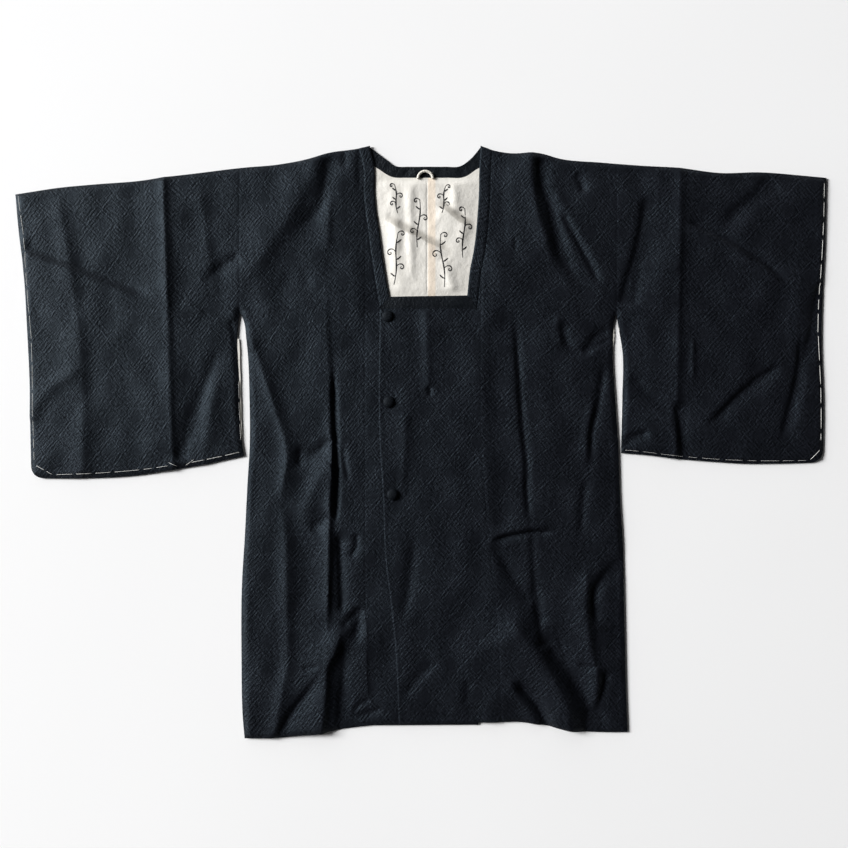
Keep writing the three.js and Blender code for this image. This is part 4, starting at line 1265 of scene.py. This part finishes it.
def sprig_strokes(foot_x, foot_y, tall, lean, mirror, size):
    """Lines and widths of one sprig."""
    t = np.linspace(0, 1, 30)
    stem = np.stack([foot_x + lean * t + mirror * 0.16 * size * np.sin(2 * math.pi * t),
                     foot_y + tall * t], 1)
    strokes = [(stem, STEM_WIDTH)]
    for share, hand, scale in ((0.34, 1, 0.9), (0.62, -1, 1.0), (0.98, 1, 0.75)):
        point = at(stem, [share])[0]
        side = hand * mirror
        line = curl(point, math.pi / 2 - side * 0.35, size * scale * 0.55, -side)
        strokes.append((line, CURL_WIDTH))
    for share, hand in ((0.16, -1), (0.48, 1), (0.8, 1)):
        point = at(stem, [share])[0]
        side = hand * mirror
        leaf = np.stack([point[0] + side * size * 0.7 * t, point[1] + size * 0.5 * t**1.6], 1)
        strokes.append((leaf, LEAF_WIDTH))
    return strokes


def lining_ink():
    """Printed strokes as thin ribbons that lie on the lining."""
    cloth = Cloth(INK_WALL)
    for sprig in SPRIGS:
        for number, (line, width) in enumerate(sprig_strokes(*sprig)):
            count = max(8, round(lengths(line)[-1] / INK_STEP))
            share = np.linspace(0, 1, count)
            path = at(line, share)
            heading = np.gradient(path, axis=0)
            heading /= np.hypot(*heading.T)[:, None] + 1e-9
            normal = np.stack([-heading[:, 1], heading[:, 0]], 1)
            swell = np.sin(math.pi * np.clip(share, 0.02, 0.98)) ** 0.5
            half = 0.5 * width * (0.35 + 0.65 * swell) * (1 + 0.18 * np.sin(share * 17 + width))
            across = np.array([1.0, 0.0, -1.0])
            grid = path[:, None] + normal[:, None] * half[:, None, None] * across[None, :, None]
            lift = LINING_WALL - 0.1 + 0.015 * number

            def height(x, y, lift=lift):
                return lining_height(x, y) + lift

            cloth.join(cloth.front(grid, height, grid))
    return cloth.make("lining_ink", [INK])


# ---- Tubes: hanging loop and basting thread ----

LOOP_RINGS = 60
STITCH = (16, 44)  # the shortest and the longest
STITCH_GAP = (2.5, 6)
LAST_STITCH = 6
STITCH_STRAY = 0.25


def ring_faces(rings, sides):
    """Faces of a closed body made of rings of points, with one more point at each end."""
    faces = []
    for i in range(0, (rings - 1) * sides, sides):
        for j in range(sides):
            k = (j + 1) % sides
            faces.append([i + j, i + k, i + sides + k, i + sides + j])
    end = rings * sides
    for j in range(sides):
        k = (j + 1) % sides
        faces += [[end, k, j], [end + 1, end - sides + j, end - sides + k]]
    return faces


def tube(path, radius, sides, swell=1.0):
    """Points, faces and cloth places of a closed tube along a path."""
    path = np.asarray(path, float)
    along = np.gradient(path, axis=0)
    along /= np.linalg.norm(along, axis=1)[:, None]
    sideways = np.stack([along[:, 1], -along[:, 0], np.zeros(len(path))], 1)
    sideways /= np.linalg.norm(sideways, axis=1)[:, None]
    up = np.cross(sideways, along)
    angle = np.arange(sides)[None, :, None] * 2 * math.pi / sides
    r = (radius * np.broadcast_to(swell, len(path)))[:, None, None]
    rings = path[:, None] + r * (np.cos(angle) * sideways[:, None] + np.sin(angle) * up[:, None])
    run = np.concatenate([[0], np.cumsum(np.linalg.norm(np.diff(path, axis=0), axis=1))])
    around = np.linspace(0, 2 * math.pi * radius, sides)
    points = np.concatenate([rings.reshape(-1, 3), path[:1], path[-1:]])
    places = np.concatenate([grid_of(around, run).reshape(-1, 2), [[0, 0], [0, run[-1]]]])
    # The rings run the other way round than ring_faces takes them.
    faces = [face[:1] + face[:0:-1] for face in ring_faces(len(path), sides)]
    return points, faces, places


def merged(name, tubes, material):
    """One object from several tubes."""
    faces = []
    count = 0
    for points, tube_faces, _ in tubes:
        faces += [[count + n for n in face] for face in tube_faces]
        count += len(points)
    points, _, places = zip(*tubes)
    return mesh_object(name, np.concatenate(points), faces, [material], np.concatenate(places))


def box_in_millimetres(node):
    return (np.array(corner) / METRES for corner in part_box(node))


def hanging_loop():
    low, high = box_in_millimetres("hanging_loop")
    thickness = high[2] - low[2]
    centre_x = (low[0] + high[0]) / 2
    radius = (high[0] - low[0] - thickness) / 2
    angle = np.linspace(math.pi, 0, LOOP_RINGS)
    path = np.stack([centre_x + radius * np.cos(angle), low[1] + radius * np.sin(angle),
                     np.full(LOOP_RINGS, (low[2] + high[2]) / 2)], 1)
    waviness = 1 + 0.05 * np.sin(np.linspace(0, 60, LOOP_RINGS))
    return merged("hanging_loop_tape", [tube(path, thickness / 2, 20, waviness)], TAPE)


# Rows of stitches: the thread's radius as it shows, and the row's line.
BASTING = {
    "right": [
        (0.28, [(-655, 400), (-644, 318), (-640, 245), (-633, 160), (-631, 70), (-629, -30)]),
        (0.33, [(-625, -38), (-598, -53)]),
        (0.24, [(-593, -53), (-518, -50), (-440, -43), (-407, -38)]),
        (0.28, [(-410, -33), (-394, -40)]),
        (0.28, [(-382, -38), (-368, -28)]),
        (0.28, [(-372, -33), (-333, -25), (-293, -16)]),
        (0.22, [(-297, 98), (-295, 40), (-293, 2)]),
    ],
    "left": [
        (0.34, [(656, 422), (654, 346), (651, 290), (648, 241), (646, 192), (650, 80), (650, 2)]),
        (0.34, [(649, -12), (632, -29)]),
        (0.17, [(628, -30), (526, -30), (421, -23), (344, -14), (330, -13)]),
        (0.26, [(322, 186), (326, 127), (326, 7)]),
    ],
}


def basting(side):
    """Rows of long running stitches along the sleeve's edges, left in from the making."""
    tubes = []
    for radius, points in BASTING[side]:
        line = smooth_line(points, 2.0)
        total = lengths(line)[-1]
        place = 0.0
        while place < total - LAST_STITCH:
            stitch = min(RNG.uniform(*STITCH), total - place)
            count = max(6, round(stitch / 3))
            path = at(line, np.linspace(place, place + stitch, count) / total)
            path[:, 0] += RNG.normal(0, STITCH_STRAY)
            z = under_height(path[:, 0], path[:, 1]) + CLOTH_WALL
            arch = np.sin(math.pi * np.linspace(0, 1, count)) ** 0.3
            low = -radius - 0.1
            tubes.append(tube(np.column_stack([path, z + low + 2 * radius * arch]), radius, 6))
            place += stitch + RNG.uniform(*STITCH_GAP)
    return merged(f"basting_{side}", tubes, THREAD)


# ---- Buttons ----

BUTTON_SIDES = 72
BUTTON_GATHERS = 18
# Shares of a button's radius and of its height, from the middle of its underside to its top.
BUTTON_PROFILE = [
    (0.0, 0.0), (0.45, 0.0), (0.80, 0.01), (0.90, 0.06), (0.97, 0.16), (1.0, 0.28), (0.995, 0.40),
    (0.96, 0.54), (0.89, 0.67), (0.79, 0.79), (0.66, 0.88), (0.50, 0.95), (0.33, 0.985),
    (0.16, 0.998),
]


def covered_button(name):
    """A domed button covered in crepe, gathered toward its rim."""
    low, high = box_in_millimetres(name)
    radius = (high[0] - low[0]) / 2
    tall = high[2] - low[2]
    x, y = BUTTONS[name]
    angle = np.arange(BUTTON_SIDES) * 2 * math.pi / BUTTON_SIDES
    folds = np.sin(BUTTON_GATHERS * angle + 3 * np.sin(angle))
    rings = []
    for r, z in smooth_line(BUTTON_PROFILE, 0.05)[1:]:
        reach = radius * r * (1 + 0.018 * smoothstep(r, 0.6, 1.0) * folds)
        rings.append(np.stack([x + reach * np.cos(angle), y + reach * np.sin(angle),
                               np.full(BUTTON_SIDES, low[2] + tall * z)], 1))
    points = np.concatenate([*rings, [[x, y, low[2]], [x, y, low[2] + tall]]])
    faces = ring_faces(len(rings), BUTTON_SIDES)
    return mesh_object(name + "_cover", points, faces, [BUTTON_CREPE])


# ---- Making the coat ----

def finished(piece, slot, *nodes):
    """Says which body a piece rides on and the nodes it replaces. The slot is not used."""
    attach(piece, "root")
    if nodes:
        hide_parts(*nodes)
    return piece


made = {}
for side in SIDES:
    made[f"body_{side}"] = finished(body_panel(side), "crepe", f"body_{side}")
    made[f"sleeve_{side}"] = finished(sleeve_panel(side), "crepe", f"sleeve_{side}")
    made[f"lining_{side}"] = finished(lining_panel(side), "lining_silk", f"lining_{side}")
for name, make, slot in (
    ("overlap_right", overlap_right, "crepe"),
    ("overlap_left", overlap_left, "crepe"),
    ("collar_strip", collar_strip, "collar_satin"),
    ("collar_front", collar_front, "collar_satin"),
):
    made[name] = finished(make(), slot, name)
for name, piece, line in (
    ("sleeve_lining_right", "sleeve_lining_edge", [(-292, 4), (-295, 69), (-296.5, 168)]),
    ("side_lining_left", "side_lining_edge", [(312, 152), (313.5, 186)]),
):
    made[name] = finished(lining_edge(piece, line), "lining_silk", name)
made["lining_ink"] = finished(lining_ink(), "lining_silk")
made["hanging_loop"] = finished(hanging_loop(), "loop_tape", "hanging_loop")
for side in SIDES:
    made[f"basting_{side}"] = finished(basting(side), "loop_tape")
for name in BUTTONS:
    made[name] = finished(covered_button(name), "button_cover", name)

# ---- Floor, light and camera ----

FLOOR_HALF = 14000.0
FLOOR_LEVEL = -0.5
corners = [(-1, -1), (1, -1), (1, 1), (-1, 1)]
floor = mesh_object("floor", [(x * FLOOR_HALF, y * FLOOR_HALF, FLOOR_LEVEL) for x, y in corners],
                    [(0, 1, 2, 3)], [floor_material()])

scene = bpy.context.scene
world = bpy.data.worlds.new("studio")
scene.world = world
world.use_nodes = True
sky = world.node_tree


def sky_range(value, from_low, from_high, to_low, to_high):
    """A brightness that goes evenly from one number to another as a value does."""
    node = sky.nodes.new("ShaderNodeMapRange")
    node.inputs["From Min"].default_value = from_low
    node.inputs["From Max"].default_value = from_high
    node.inputs["To Min"].default_value = to_low
    node.inputs["To Max"].default_value = to_high
    sky.links.new(value, node.inputs["Value"])
    return node.outputs["Result"]


# The sky is bright low down and nearly dark overhead, and brighter toward the window.
place = sky.nodes.new("ShaderNodeTexCoord").outputs["Generated"]
parts = sky.nodes.new("ShaderNodeSeparateXYZ")
sky.links.new(place, parts.inputs["Vector"])
toward = sky.nodes.new("ShaderNodeVectorMath")
toward.operation = "DOT_PRODUCT"
toward.inputs[1].default_value = (-0.85, 0.53, 0.0)
sky.links.new(place, toward.inputs[0])
both = sky.nodes.new("ShaderNodeMath")
both.operation = "MULTIPLY"
sky.links.new(sky_range(parts.outputs["Z"], 0.0, 0.62, 1.9, 0.03), both.inputs[0])
sky.links.new(sky_range(toward.outputs["Value"], -0.15, 1.0, 0.05, 1.95), both.inputs[1])
background = sky.nodes["Background"]
background.inputs["Color"].default_value = (1.0, 1.0, 1.0, 1.0)
sky.links.new(both.outputs["Value"], background.inputs["Strength"])

window_data = bpy.data.lights.new("window", "AREA")
window_data.shape = "RECTANGLE"
window_data.size = 6.2
window_data.size_y = 7.8
window_data.energy = 6490
window_data.color = (0.997, 0.996, 1.0)
window = add_object("window", window_data)
window.location = (-15.9, 5.1, 9.5)
window.rotation_euler = window.location.to_track_quat("Z", "Y").to_euler()

VIEW_WIDTH = 1.382
LENS = 42.0
SENSOR = 36.0
camera_data = bpy.data.cameras.new("camera")
camera_data.lens = LENS
camera_data.sensor_width = SENSOR
camera = add_object("camera", camera_data)
camera.location = (0.0049, 0.0293, VIEW_WIDTH * LENS / SENSOR)
scene.camera = camera
scene.view_settings.view_transform = "Standard"

# ---- Cut sizes of the sheets ----

# Width, length and area of what shows of each cut, in metres, and what it lies on.
SHEETS = {
    "body_right": (0.305, 1.90, 0.47, ["floor"]),
    "body_left": (0.326, 1.90, 0.48, ["floor", "overlap_right"]),
    "sleeve_right": (0.372, 0.96, 0.345, ["floor"]),
    "sleeve_left": (0.342, 0.96, 0.32, ["floor"]),
    "overlap_right": (0.175, 0.83, 0.125, ["body_right", "body_left"]),
    "overlap_left": (0.167, 0.74, 0.115, ["overlap_right"]),
    "collar_strip": (0.018, 0.76, 0.0136, ["body_right", "body_left"]),
    "collar_front": (0.019, 0.158, 0.0028, ["overlap_right", "overlap_left"]),
    "lining_right": (0.094, 0.222, 0.0172, ["body_right"]),
    "lining_left": (0.092, 0.222, 0.0172, ["body_left"]),
    "sleeve_lining_right": (0.01, 0.165, 0.00099, ["sleeve_right"]),
    "side_lining_left": (0.01, 0.034, 0.0002, ["body_left"]),
}
for name, (width, length, area, rests_on) in SHEETS.items():
    below = [made[other].name if other in made else other for other in rests_on]
